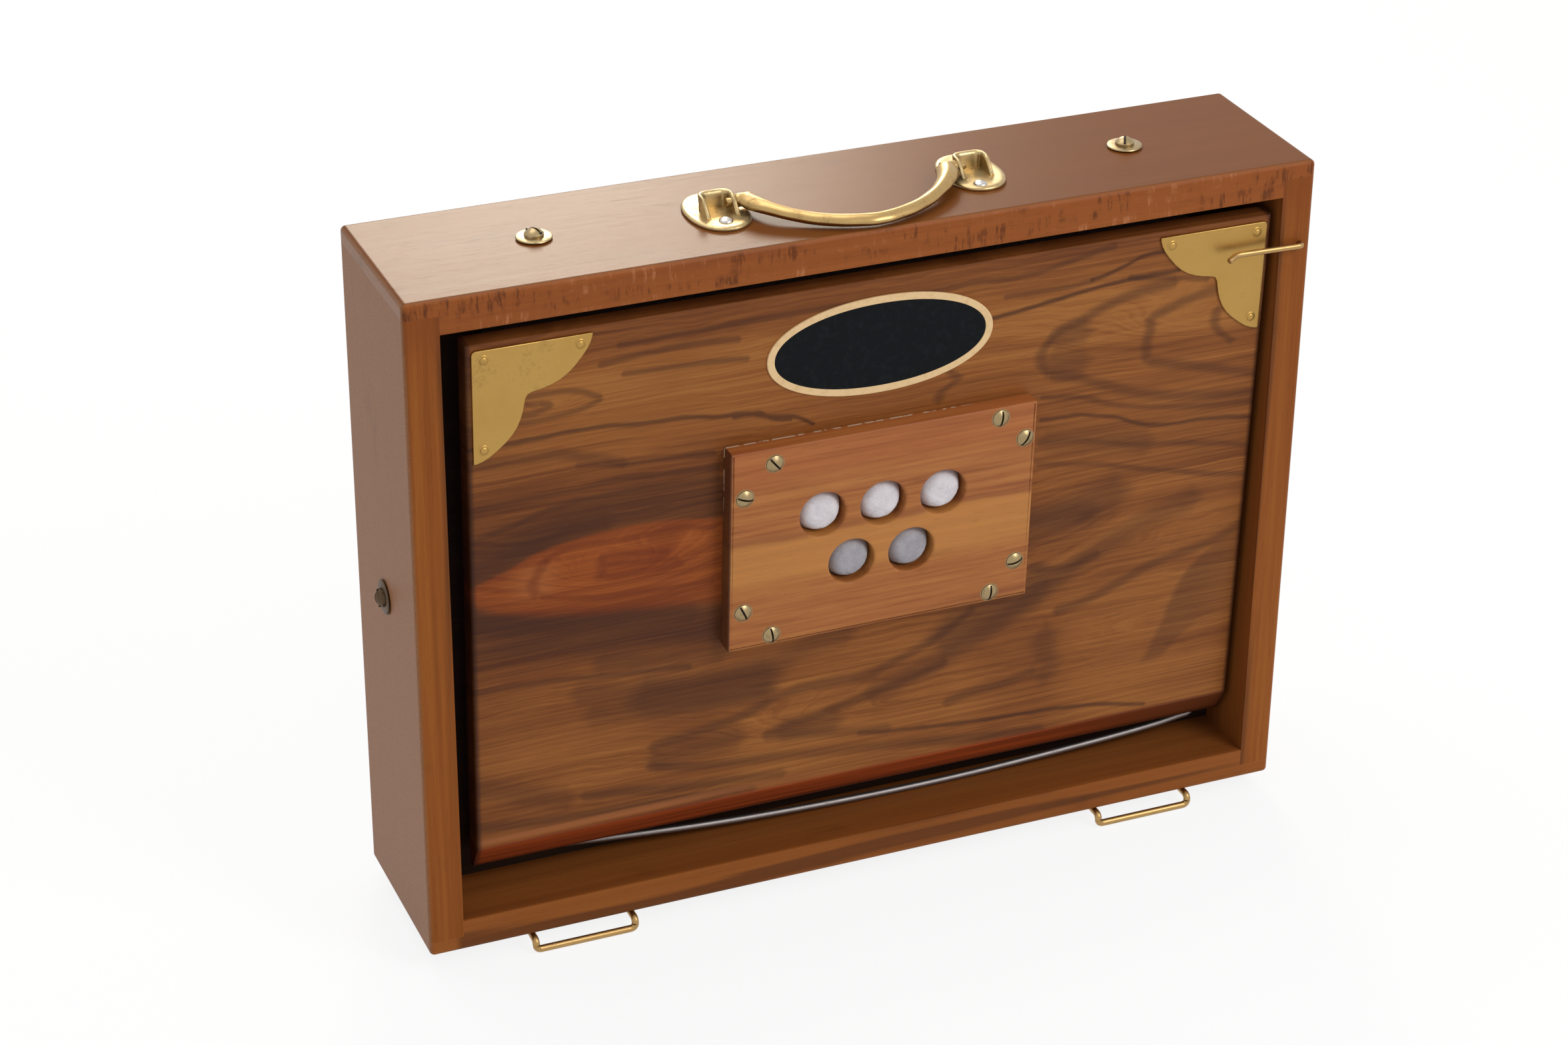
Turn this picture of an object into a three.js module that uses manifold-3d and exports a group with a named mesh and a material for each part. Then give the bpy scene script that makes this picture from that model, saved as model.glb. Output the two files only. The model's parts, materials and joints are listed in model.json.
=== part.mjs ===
// A shruti box: a wooden case with a hinged pump panel in front, a wind chest with free reeds inside,
// and tuning levers and a spring-loaded reservoir at the back.
// Millimetres. The origin is on the surface that the box stands on, under the middle of the case,
// x to the right, y to the back, z up. Heights are given from the underside of the case.
import * as THREE from "three";
import { mergeVertices } from "three/addons/utils/BufferGeometryUtils.js";
import Module from "manifold-3d";

const wasm = await Module();
wasm.setup();

// Fits
const SEAT = 0.3; // clearance between pieces that bear on each other
const OVERRUN = 3; // how far a cut runs past the face that it opens
const WELD = 0.0005; // vertices nearer than this are one

// Case boards
const CASE_WIDTH = 405;
const CASE_HEIGHT = 305;
const CASE_DEPTH = 85.5;
const BOARD = 15;
const RABBET_LIP = 7; // what is left of the top and bottom boards over the end of a stile
const CORNER_ROUND = 3.5; // outer corners of the case, seen from the front
const OUTER_ARRIS = 1.4;
const INNER_ARRIS = 0.7;

// Screws that hold the wind chest in the case
const CASE_SCREW_SHARE = 0.6583; // of half the case's width
const CASE_SCREW_RISE = 3.6; // of the side screws above the cross rail's middle
const LEFT_SCREW_TURN = THREE.MathUtils.degToRad(36);
const RIGHT_SCREW_TURN = THREE.MathUtils.degToRad(-25.7);
const SCREW_SHANK_RADIUS = 2;
const SCREW_LENGTH = 25;
const SCREW_HEAD_RADIUS = 4.5;
const SCREW_HEAD_HEIGHT = 2.6;
const SCREW_SLOT_WIDTH = 1;
const SCREW_SLOT_DEPTH = 1.1;
const WASHER_RADIUS = 8.3;
const WASHER_THICKNESS = 1;

// Wind chest
const CHEST_FRONT_Y = -9.5;
const CHEST_BOARD = 4;
const CHEST_FRAME_DEPTH = 12;
const CHEST_RAIL = 14;
const CROSS_RAIL_SHARE = 0.51724; // of the case's inside top
const CROSS_RAIL_DEPTH = 6;
const REED_BOARD = 8;
const INTAKE_RADIUS = 8;
const INTAKE_SPACING = 24;
const INTAKE_COUNT = 5;
const INTAKE_SHARE = 0.345; // of the case's inside top
const CHEST_FLAP_LAP = 7;
const FLAP_THICKNESS = 2;
const AIR_HOLE_RADIUS = 20;
const AIR_HOLE_SHARE = 0.56; // of the cross rail's height

// Notes: a reed inside the chest and a lever outside it, side by side
const NOTE_COUNT = 13;
const NOTE_MARGIN = 28.2; // from the chest's end to the first note
const LEVER_PIVOT_DROP = 90; // below the case's inside top
const SOUND_HOLE_RADIUS = 3.75;
const SOUND_HOLE_REACH = 34; // from a lever's pivot to its sound hole
const CELL_WIDTH = 8;
const CELL_DEPTH = 4.5;
const LEVER_THICKNESS = 4.3;
const LEVER_REACH = 42; // from the pivot to the tip
const LEVER_HALF_WIDTH = 5.5;
const LEVER_BOSS_RADIUS = 5;
const LEVER_NECK_HALF_WIDTH = 3.4;
const LEVER_NIB_HEIGHT = 6;
const LEVER_NIB_LENGTH = 5;
const PIVOT_RADIUS = 1.5;
const PIVOT_HEAD_RADIUS = 3.4;
const PIVOT_HEAD_HEIGHT = 1.8;
const REED_LONGEST = 58;
const REED_SHORTEST = 40;
const REED_PLATE_WIDTH = 16;
const REED_PLATE_THICKNESS = 2;
const REED_SLOT_WIDTH = 4.4;
const REED_HEEL_LENGTH = 7;
const REED_HEEL_THICKNESS = 1.4;
const REED_TONGUE_WIDTH = 3.6;
const REED_TONGUE_THICKNESS = 0.4;
const REED_TONGUE_RISE = 0.4;
const REED_RIVET_RADIUS = 1.1;
const REED_RIVET_HEIGHT = 0.8;
const REED_RIVET_PITCH = 3.3;
const REED_CENTRE_DROP = 64; // below the case's inside top
const REED_SLOT_SHARE = 0.7; // length of the slot over the length of the plate

// Pump panel, hinged at its foot and leaning out at the top
const PANEL_X = 4; // the panel sits nearer to the right stile
const PANEL_SIDE_GAP = 7;
const PANEL_THICKNESS = 9.5;
const PANEL_BACK_Y = -20.95; // of the panel's back at the hinge
const PANEL_LEAN = THREE.MathUtils.degToRad(2.16);
const HINGE_Z = 42;
const PANEL_TOP_GAP = 8;
const PANEL_DROP = 13.5; // below the hinge
const BEVEL_RISE = 11.8;
const BEVEL_TIP = 3.3; // thickness left at the foot of the long bevel
const PANEL_ARRIS = 1.3;
const BATTEN_HEIGHT = 8;
const HINGE_STRIP = 0.8; // leather between a batten and what it carries

// Valve plate and its flap
const VALVE_PLATE_WIDTH = 140;
const VALVE_PLATE_HEIGHT = 95.5;
const VALVE_PLATE_THICKNESS = 7.8;
const VALVE_PLATE_SHARE = 0.52667; // height of its centre above the hinge, of the panel's
const VALVE_CHAMFER = 1.2;
const VALVE_HOLE_RADIUS = 10.5;
const VALVE_HOLE_SPACING = 27.7;
const VALVE_ROW_GAP = 25.4;
const VALVE_ROW_RISE = 11.5; // the upper row above the plate's centre
const VALVE_WINDOW_MARGIN = 14; // from the plate's edge to the window behind it
const FLAP_MARGIN = 5; // from the window's edge to the flap

// Bellows
const BELLOWS_MARGIN = 22.5; // from the inside of a stile
const BELLOWS_TOP_GAP = 6; // below the panel's top
const BELLOWS_FOLD = 24;
const BELLOWS_SKIN = 5;
const BELLOWS_HINGE_SKIN = 1.5;

// Brass corner plates
const BRASS_LEG = 51;
const BRASS_TIP = 2.8;
const BRASS_SHOULDER_FAR = 29;
const BRASS_SHOULDER_NEAR = 21;
const BRASS_CUSP = 23.2;
const BRASS_THICKNESS = 0.8;
const BRASS_INSET = 2.2;
const BRASS_ROUND = 2;

// Springs
const PUMP_SPRING_RADIUS = 1;
const PUMP_SPRING_GAP = 8; // from the bellows
const PUMP_SPRING_SHARE = 0.45; // rise of its arms above the hinge, of the panel's
const PUMP_SPRING_LOW_X = 30; // the bow touches the floor here
const PUMP_SPRING_SAG = 11; // rise of the bow over the half width
const PUMP_SPRING_BEND = 9;
const RESERVOIR_SPRING_RADIUS = 0.9;
const RESERVOIR_SPRING_Y = 37;
const RESERVOIR_SPRING_ROOT_DROP = 18; // below the reservoir panel's top
const RESERVOIR_SPRING_TIP_DROP = 46;
const RESERVOIR_SPRING_LAP = 26; // of its tip over the reservoir panel
const RESERVOIR_SPRING_ELBOW = 7;
const RESERVOIR_SPRING_DEPTH = 5; // of its root in the stile

// Reservoir
const RESERVOIR_GAP = 9.2; // folded bellows
const RESERVOIR_PANEL_THICKNESS = 7.5;
const RESERVOIR_PANEL_LAP = 7; // past the bellows at each side
const RESERVOIR_HINGE_Z = 19.3;
const RESERVOIR_TOP_GAP = 8; // below the cross rail's middle
const RESERVOIR_BATTEN_HEIGHT = 9;
const RESERVOIR_BELLOWS_TOP_GAP = 4;
const RESERVOIR_FOLD = 18;

// Latch, a bent wire turning in the right stile
const LATCH_RADIUS = 1.3;
const LATCH_INSET = 5.5; // from the case's side
const LATCH_DROP = 22.4; // below the case's inside top
const LATCH_REACH = 31;
const LATCH_STANDOFF = 1.3; // of the wire from the stile's face at the shank, less at the tip
const LATCH_SHANK = 12;
const LATCH_TAB = 4.5;

// Wire feet
const FOOT_RADIUS = 1.3;
const FOOT_SHARE = 0.6672; // place of a foot, of half the case's width
const FOOT_SHIFT = 1.9; // both feet sit this much to the right
const FOOT_WIDTH = 48.8;
const FOOT_DROP = 6.9; // from the underside to the crossbar's centre
const FOOT_STANDOFF = 2; // from the face of the case to the crossbar's centre
const STRAP_LENGTH = 66;
const STRAP_WIDTH = 12;
const STRAP_THICKNESS = 0.9;

// Handle
const HANDLE_X = 1.5;
const HANDLE_Y = -5; // of its pivot
const PLATE_LUG_OFFSET = 6.8; // from the lug's inner cheek to the middle of its plate
const PLATE_Y = 2; // from the pivot to the middle of each plate
const PLATE_HALF_WIDTH = 13.3;
const PLATE_HALF_LENGTH = 19.5;
const PLATE_THICKNESS = 1.9;
const PLATE_EDGE = 1.1;
const PLATE_BEVEL = 2.2;
const LUG_NEAR = 50.5; // inner cheek of the lug, from the handle's middle
const LUG_WIDTH = 13.5;
const LUG_WALL = 1.6;
const LUG_BACK_Y = 6.9; // these three from the pivot
const LUG_CROWN_Y = -2.6; // where its cheeks start to slope down
const LUG_FRONT_Y = -6.5;
const LUG_HEIGHT = 8;
const LUG_FRONT_HEIGHT = 2.4;
const BAIL_PIVOT_RISE = 5.4;
const BAIL_PIN_RADIUS = 1.6;
const BAIL_EAR_RADIUS = 2.9;
const BAIL_LUG_OFFSET = 5.6; // from the middle of the bail's neck to the lug's inner cheek
const BAIL_DEPTH = 33.5;
const BAIL_REST_RISE = 3.2; // of the grip's middle over the top board
const BAIL_NECK_HALF_WIDTH = 5;
const BAIL_NECK_HALF_HEIGHT = 3.3;
const BAIL_GRIP_HALF_WIDTH = 3.5;
const BAIL_GRIP_HALF_HEIGHT = 2.7;
const BAIL_CURVE_SHARE = 1.25; // power of its superellipse
const BAIL_DROP_SHARES = [0.2, 0.9]; // where it comes down to the top board, of its depth
const BAIL_GRIP_SHARES = [0.15, 0.65]; // where its neck becomes the grip, of its depth
const BAIL_LOOK_SHARE = 0.01; // how far along it the direction is taken

// Numbers of facets
const ARC_STEPS = 3;
const SMALL_ARC_STEPS = 2;
const HOLE_SIDES = 24;
const ROUND_SIDES = 16;
const BORE_SIDES = 12;
const SMALL_SIDES = 10;
const WIRE_SIDES = 8;
const BAIL_RINGS = 22;
const BEND_STEPS = 4;
const SPRING_STEPS = 36;

const CASE_FRONT_Y = -CASE_DEPTH / 2;
const CASE_BACK_Y = CASE_DEPTH / 2;
const CASE_HALF = CASE_WIDTH / 2;
const INSIDE_HALF = CASE_HALF - BOARD;
const INSIDE_TOP = CASE_HEIGHT - BOARD;
const CROSS_RAIL_Z = INSIDE_TOP * CROSS_RAIL_SHARE;
const CASE_SCREW_X = CASE_HALF * CASE_SCREW_SHARE;
const CASE_SCREW_Z = CROSS_RAIL_Z + CASE_SCREW_RISE;
const CHEST_FRAME_Y = CHEST_FRONT_Y + CHEST_BOARD + SEAT;
const BACK_BOARDS_Y = CHEST_FRAME_Y + CHEST_FRAME_DEPTH + SEAT;
const REED_BOARD_BACK_Y = BACK_BOARDS_Y + REED_BOARD;
const CHEST_HALF = INSIDE_HALF - SEAT;
const CHEST_TOP = INSIDE_TOP - SEAT;
const CHEST_BOTTOM = BOARD + SEAT;
const INTAKE_Z = INSIDE_TOP * INTAKE_SHARE;
const AIR_HOLE_Z = CROSS_RAIL_Z * AIR_HOLE_SHARE;
const NOTE_PITCH = (2 * (CHEST_HALF - NOTE_MARGIN)) / (NOTE_COUNT - 1);
const LEVER_PIVOT_Z = INSIDE_TOP - LEVER_PIVOT_DROP;
const SOUND_HOLE_Z = LEVER_PIVOT_Z + SOUND_HOLE_REACH;
const REED_CENTRE_Z = INSIDE_TOP - REED_CENTRE_DROP;
const PANEL_WIDTH = 2 * (INSIDE_HALF - PANEL_SIDE_GAP);
const PANEL_RISE = INSIDE_TOP - HINGE_Z - PANEL_TOP_GAP; // above the hinge
const VALVE_PLATE_Z = PANEL_RISE * VALVE_PLATE_SHARE; // its centre above the hinge
const BELLOWS_HALF_WIDTH = INSIDE_HALF - BELLOWS_MARGIN;
const BELLOWS_TOP = PANEL_RISE - BELLOWS_TOP_GAP; // above the hinge
const PUMP_SPRING_HALF_WIDTH = BELLOWS_HALF_WIDTH + PUMP_SPRING_GAP;
const PUMP_SPRING_RISE = PANEL_RISE * PUMP_SPRING_SHARE; // of its arms above the hinge
const RESERVOIR_PANEL_HALF_WIDTH = BELLOWS_HALF_WIDTH + RESERVOIR_PANEL_LAP;
const RESERVOIR_TOP = CROSS_RAIL_Z - RESERVOIR_TOP_GAP;
const LATCH_X = CASE_HALF - LATCH_INSET;
const LATCH_Z = INSIDE_TOP - LATCH_DROP;
const FOOT_X = CASE_HALF * FOOT_SHARE;
const PLATE_X = LUG_NEAR + PLATE_LUG_OFFSET; // the middle of each plate from the handle's middle
const BAIL_HALF_SPAN = LUG_NEAR - BAIL_LUG_OFFSET;

function finish(colour, roughness, metalness = 0) {
  return new THREE.MeshStandardMaterial({ color: colour, roughness, metalness });
}

const caseWood = finish(0x8f5a3a, 0.5);
const panelWood = finish(0x8a4a28, 0.4);
const valveWood = finish(0xb06c3a, 0.45);
const plainWood = finish(0xb08a5e, 0.6);
const brass = finish(0xb8964f, 0.35, 1);
const reedBrass = finish(0xc2a45a, 0.3, 1);
const steel = finish(0x9a9a98, 0.35, 1);
const leather = finish(0xc9c3bc, 0.8);
const bellowsSkin = finish(0x4a2a22, 0.7);
const leverWood = finish(0xe6dcc4, 0.45);

const root = new THREE.Group();
root.name = "shruti_box";
const box = new THREE.Group();
box.position.z = FOOT_DROP + FOOT_RADIUS;
root.add(box);

function add(name, shape, material, parent = box) {
  const geometry = shape.isBufferGeometry ? shape : geometryOf(shape);
  const mesh = new THREE.Mesh(geometry, material);
  mesh.name = name;
  parent.add(mesh);
  return mesh;
}

// A closed geometry as a solid that can be joined and cut.
function solid(geometry) {
  const bare = geometry.index ? geometry.toNonIndexed() : geometry.clone();
  bare.deleteAttribute("normal");
  bare.deleteAttribute("uv");
  const merged = mergeVertices(bare, WELD);
  const vertProperties = merged.attributes.position.array;
  const triVerts = new Uint32Array(merged.index.array);
  return new wasm.Manifold(new wasm.Mesh({ numProp: 3, vertProperties, triVerts }));
}

function geometryOf(made) {
  const { vertProperties, triVerts } = made.getMesh();
  const geometry = new THREE.BufferGeometry();
  geometry.setAttribute("position", new THREE.BufferAttribute(new Float32Array(vertProperties), 3));
  geometry.setIndex(new THREE.BufferAttribute(new Uint32Array(triVerts), 1));
  geometry.computeVertexNormals();
  return geometry;
}

// Joins every solid of a list to the first one.
function joined(first, ...others) {
  return others.reduce((whole, other) => whole.add(other), first);
}

// Takes every solid of a list from the first one.
function cut(first, ...others) {
  return others.reduce((whole, other) => whole.subtract(other), first);
}

const X = new THREE.Vector3(1, 0, 0);
const Y = new THREE.Vector3(0, 1, 0);
const Z = new THREE.Vector3(0, 0, 1);

// An outline extruded along an axis from low to high.
// Along x the outline is drawn in (y, z), along y in (x, z) and along z in (x, y).
function extruded(axis, outline, low, high) {
  const geometry = new THREE.ExtrudeGeometry(outline, { depth: high - low, bevelEnabled: false });
  const turned = new THREE.Matrix4();
  if (axis === "x") turned.makeBasis(Y, Z, X).setPosition(low, 0, 0);
  if (axis === "y") turned.makeBasis(X, Z, Y.clone().negate()).setPosition(0, high, 0);
  if (axis === "z") turned.setPosition(0, 0, low);
  return solid(geometry.applyMatrix4(turned));
}

function block([x0, x1], [y0, y1], [z0, z1]) {
  const geometry = new THREE.BoxGeometry(x1 - x0, y1 - y0, z1 - z0);
  return solid(geometry.translate((x0 + x1) / 2, (y0 + y1) / 2, (z0 + z1) / 2));
}

// A rod along an axis from low to high, with its centre given in the outline plane of extruded().
function rod(axis, radius, [u, v], low, high, sides = HOLE_SIDES) {
  const outline = new THREE.Shape(circle(radius, sides).map((point) => point.add(new THREE.Vector2(u, v))));
  return extruded(axis, outline, low, high);
}

function circle(radius, sides) {
  return Array.from({ length: sides }, (_, i) => {
    const angle = ((i + 0.5) / sides) * 2 * Math.PI;
    return new THREE.Vector2(radius * Math.cos(angle), radius * Math.sin(angle));
  });
}

// An outline through corners [u, v, radius], each rounded to its radius.
function outlineOf(corners, steps = ARC_STEPS) {
  const points = [];
  corners.forEach(([u, v, radius = 0], i) => {
    const here = new THREE.Vector2(u, v);
    if (!radius) {
      points.push(here);
      return;
    }
    const [bu, bv] = corners.at(i - 1);
    const [au, av] = corners[(i + 1) % corners.length];
    const before = new THREE.Vector2(bu, bv).sub(here).normalize();
    const after = new THREE.Vector2(au, av).sub(here).normalize();
    const half = Math.acos(before.dot(after)) / 2;
    const centre = before.clone().add(after).normalize().multiplyScalar(radius / Math.sin(half)).add(here);
    const reach = radius / Math.tan(half);
    const first = before.multiplyScalar(reach).add(here).sub(centre);
    const last = after.multiplyScalar(reach).add(here).sub(centre);
    const turn = Math.atan2(first.cross(last), first.dot(last));
    for (let step = 0; step <= steps; step += 1) {
      points.push(first.clone().rotateAround(new THREE.Vector2(), (turn * step) / steps).add(centre));
    }
  });
  return new THREE.Shape(points);
}

// Triangles given corner by corner as a solid that faces out, whichever way round they were listed.
function faced(triangles) {
  const made = (list) => {
    const positions = list.flat().flatMap((point) => [point.x, point.y, point.z]);
    const geometry = new THREE.BufferGeometry();
    geometry.setAttribute("position", new THREE.Float32BufferAttribute(positions, 3));
    return solid(geometry);
  };
  const first = made(triangles);
  return first.volume() > 0 ? first : made(triangles.map(([a, b, c]) => [a, c, b]));
}

// A body through rings of points, closed flat at both ends.
function lofted(rings) {
  const triangles = [];
  const count = rings[0].length;
  rings.slice(1).forEach((ring, k) => {
    const last = rings[k];
    ring.forEach((point, i) => {
      const next = (i + 1) % count;
      triangles.push([last[i], last[next], ring[next]], [last[i], ring[next], point]);
    });
  });
  [rings[0], rings.at(-1).slice().reverse()].forEach((ring) => {
    const middle = ring.reduce((sum, point) => sum.add(point), new THREE.Vector3()).divideScalar(count);
    ring.forEach((point, i) => triangles.push([ring[(i + 1) % count], point, middle]));
  });
  return faced(triangles);
}

// The points of a path through corners, each bent over a length before and after it.
function bentPath(corners, bend) {
  const bends = corners.slice(1, -1).flatMap((corner, i) => {
    const start = corner.clone().add(corners[i].clone().sub(corner).setLength(bend));
    const end = corner.clone().add(corners[i + 2].clone().sub(corner).setLength(bend));
    return new THREE.QuadraticBezierCurve3(start, corner, end).getPoints(BEND_STEPS);
  });
  return [corners[0], ...bends, corners.at(-1)];
}

// A round wire through points. Each ring is square to the path, and turned as little as can be from
// the ring before it.
function wire(points, radius) {
  const sideways = new THREE.Vector3();
  const rings = points.map((point, i) => {
    const ahead = points[Math.min(i + 1, points.length - 1)];
    const behind = points[Math.max(i - 1, 0)];
    const along = ahead.clone().sub(behind).normalize();
    if (i === 0) sideways.copy(Math.abs(along.z) < Math.SQRT1_2 ? Z : X);
    sideways.addScaledVector(along, -sideways.dot(along)).normalize();
    const across = along.clone().cross(sideways);
    return circle(radius, WIRE_SIDES).map(({ x, y }) =>
      point.clone().addScaledVector(sideways, x).addScaledVector(across, y),
    );
  });
  return lofted(rings);
}

// Case: the top and bottom boards are rabbeted over the ends of the stiles.
function flatBoard(up) {
  const level = (z) => (up ? z : CASE_HEIGHT - z);
  const lip = level(CASE_HEIGHT - RABBET_LIP);
  const inner = level(INSIDE_TOP);
  const outer = level(CASE_HEIGHT);
  const tongue = INSIDE_HALF - SEAT;
  const face = outlineOf([
    [-CASE_HALF, lip],
    [-tongue, lip],
    [-tongue, inner],
    [tongue, inner],
    [tongue, lip],
    [CASE_HALF, lip],
    [CASE_HALF, outer, CORNER_ROUND],
    [-CASE_HALF, outer, CORNER_ROUND],
  ]);
  const section = outlineOf([
    [CASE_FRONT_Y, inner, INNER_ARRIS],
    [CASE_BACK_Y, inner, INNER_ARRIS],
    [CASE_BACK_Y, outer, OUTER_ARRIS],
    [CASE_FRONT_Y, outer, OUTER_ARRIS],
  ]);
  const across = extruded("x", section, -CASE_HALF, CASE_HALF);
  return across.intersect(extruded("y", face, CASE_FRONT_Y, CASE_BACK_Y));
}

const SCREW_HOLE = SCREW_SHANK_RADIUS + SEAT;
const screwY = (CHEST_FRAME_Y + BACK_BOARDS_Y - SEAT) / 2;
const topScrewHoles = [-CASE_SCREW_X, CASE_SCREW_X].map((x) =>
  rod("z", SCREW_HOLE, [x, screwY], CHEST_TOP - SCREW_LENGTH, CASE_HEIGHT + OVERRUN, SMALL_SIDES),
);
const sideScrewHole = (side) => {
  const ends = [side * (CHEST_HALF - SCREW_LENGTH), side * (CASE_HALF + OVERRUN)].sort((a, b) => a - b);
  return rod("x", SCREW_HOLE, [screwY, CASE_SCREW_Z], ends[0], ends[1], SMALL_SIDES);
};

add("case_top", cut(flatBoard(true), ...topScrewHoles), caseWood);
add("case_bottom", flatBoard(false), caseWood);

function stile(side) {
  const inner = side * INSIDE_HALF;
  const outer = side * CASE_HALF;
  const section = outlineOf([
    [inner, CASE_FRONT_Y, INNER_ARRIS],
    [outer, CASE_FRONT_Y, OUTER_ARRIS],
    [outer, CASE_BACK_Y, OUTER_ARRIS],
    [inner, CASE_BACK_Y, INNER_ARRIS],
  ]);
  return extruded("z", section, RABBET_LIP + SEAT, CASE_HEIGHT - RABBET_LIP - SEAT);
}

const springRootZ = RESERVOIR_TOP - RESERVOIR_SPRING_ROOT_DROP;
function springHole(side) {
  const ends = [side * (INSIDE_HALF - OVERRUN), side * (INSIDE_HALF + RESERVOIR_SPRING_DEPTH + SEAT)];
  const centre = [RESERVOIR_SPRING_Y, springRootZ];
  return rod("x", RESERVOIR_SPRING_RADIUS + SEAT, centre, Math.min(...ends), Math.max(...ends), SMALL_SIDES);
}

const latchHole = rod(
  "y",
  LATCH_RADIUS + SEAT,
  [LATCH_X, LATCH_Z],
  CASE_FRONT_Y - OVERRUN,
  CASE_FRONT_Y + LATCH_SHANK + SEAT,
  SMALL_SIDES,
);
add("case_left", cut(stile(-1), sideScrewHole(-1), springHole(-1)), caseWood);
add("case_right", cut(stile(1), sideScrewHole(1), springHole(1), latchHole), caseWood);

// A round-headed slotted screw with a flat washer, standing on z = 0.
function washerScrew() {
  const under = WASHER_THICKNESS;
  const domeSteps = 3;
  const profile = [
    [0, SEAT - SCREW_LENGTH],
    [SCREW_SHANK_RADIUS, SEAT - SCREW_LENGTH + SCREW_SHANK_RADIUS],
    [SCREW_SHANK_RADIUS, 0],
    [WASHER_RADIUS, 0],
    [WASHER_RADIUS, under],
    [SCREW_HEAD_RADIUS, under],
  ].map(([r, z]) => new THREE.Vector2(r, z));
  for (let step = 1; step <= domeSteps; step += 1) {
    const angle = (step / domeSteps) * (Math.PI / 2);
    const r = step < domeSteps ? SCREW_HEAD_RADIUS * Math.cos(angle) : 0;
    profile.push(new THREE.Vector2(r, under + SCREW_HEAD_HEIGHT * Math.sin(angle)));
  }
  const turned = solid(new THREE.LatheGeometry(profile, ROUND_SIDES).rotateX(Math.PI / 2));
  const top = WASHER_THICKNESS + SCREW_HEAD_HEIGHT;
  const slot = block(
    [-SCREW_HEAD_RADIUS, SCREW_HEAD_RADIUS],
    [-SCREW_SLOT_WIDTH / 2, SCREW_SLOT_WIDTH / 2],
    [top - SCREW_SLOT_DEPTH, top + OVERRUN],
  );
  return geometryOf(cut(turned, slot));
}

function placeScrew(name, position, turn) {
  const screw = add(name, washerScrew(), brass);
  screw.position.set(...position);
  screw.rotation.set(...turn);
}

placeScrew("top_screw_left", [-CASE_SCREW_X, screwY, CASE_HEIGHT + SEAT], [0, 0, LEFT_SCREW_TURN]);
placeScrew("top_screw_right", [CASE_SCREW_X, screwY, CASE_HEIGHT + SEAT], [0, 0, RIGHT_SCREW_TURN]);
placeScrew("side_screw_left", [-CASE_HALF - SEAT, screwY, CASE_SCREW_Z], [0, -Math.PI / 2, 0]);
placeScrew("side_screw_right", [CASE_HALF + SEAT, screwY, CASE_SCREW_Z], [0, Math.PI / 2, 0]);

// Wind chest
function chestFrame() {
  const y = [CHEST_FRAME_Y, CHEST_FRAME_Y + CHEST_FRAME_DEPTH];
  const inside = CHEST_HALF - CHEST_RAIL;
  const frame = cut(
    block([-CHEST_HALF, CHEST_HALF], y, [CHEST_BOTTOM, CHEST_TOP]),
    block(
      [-inside, inside],
      [y[0] - OVERRUN, y[1] + OVERRUN],
      [CHEST_BOTTOM + CHEST_RAIL, CHEST_TOP - CHEST_RAIL],
    ),
  );
  // The cross rail backs the joint of the two back boards and leaves an air way in front of it.
  const rail = block(
    [-inside - SEAT, inside + SEAT],
    [y[1] - CROSS_RAIL_DEPTH, y[1]],
    [CROSS_RAIL_Z - CHEST_RAIL / 2, CROSS_RAIL_Z + CHEST_RAIL / 2],
  );
  return cut(joined(frame, rail), ...topScrewHoles, sideScrewHole(-1), sideScrewHole(1));
}
add("chest_frame", chestFrame(), plainWood);

const intakeX = Array.from({ length: INTAKE_COUNT }, (_, i) => (i - (INTAKE_COUNT - 1) / 2) * INTAKE_SPACING);
add(
  "chest_front_board",
  cut(
    block(
      [-CHEST_HALF, CHEST_HALF],
      [CHEST_FRONT_Y, CHEST_FRONT_Y + CHEST_BOARD],
      [CHEST_BOTTOM, CHEST_TOP],
    ),
    ...intakeX.map((x) =>
      rod("y", INTAKE_RADIUS, [x, INTAKE_Z], CHEST_FRONT_Y - OVERRUN, CHEST_FRAME_Y, ROUND_SIDES),
    ),
  ),
  plainWood,
);

const intakeHalf = intakeX.at(-1) + INTAKE_RADIUS + CHEST_FLAP_LAP;
add(
  "chest_valve_flap",
  extruded(
    "y",
    outlineOf([
      [-intakeHalf, INTAKE_Z - INTAKE_RADIUS - CHEST_FLAP_LAP, CHEST_FLAP_LAP],
      [intakeHalf, INTAKE_Z - INTAKE_RADIUS - CHEST_FLAP_LAP, CHEST_FLAP_LAP],
      [intakeHalf, INTAKE_Z + INTAKE_RADIUS + CHEST_FLAP_LAP],
      [-intakeHalf, INTAKE_Z + INTAKE_RADIUS + CHEST_FLAP_LAP],
    ]),
    CHEST_FRAME_Y,
    CHEST_FRAME_Y + FLAP_THICKNESS,
  ),
  leather,
);

const noteX = Array.from({ length: NOTE_COUNT }, (_, i) => (i - (NOTE_COUNT - 1) / 2) * NOTE_PITCH);
const reedLength = (i) => THREE.MathUtils.lerp(REED_LONGEST, REED_SHORTEST, i / (NOTE_COUNT - 1));

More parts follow.
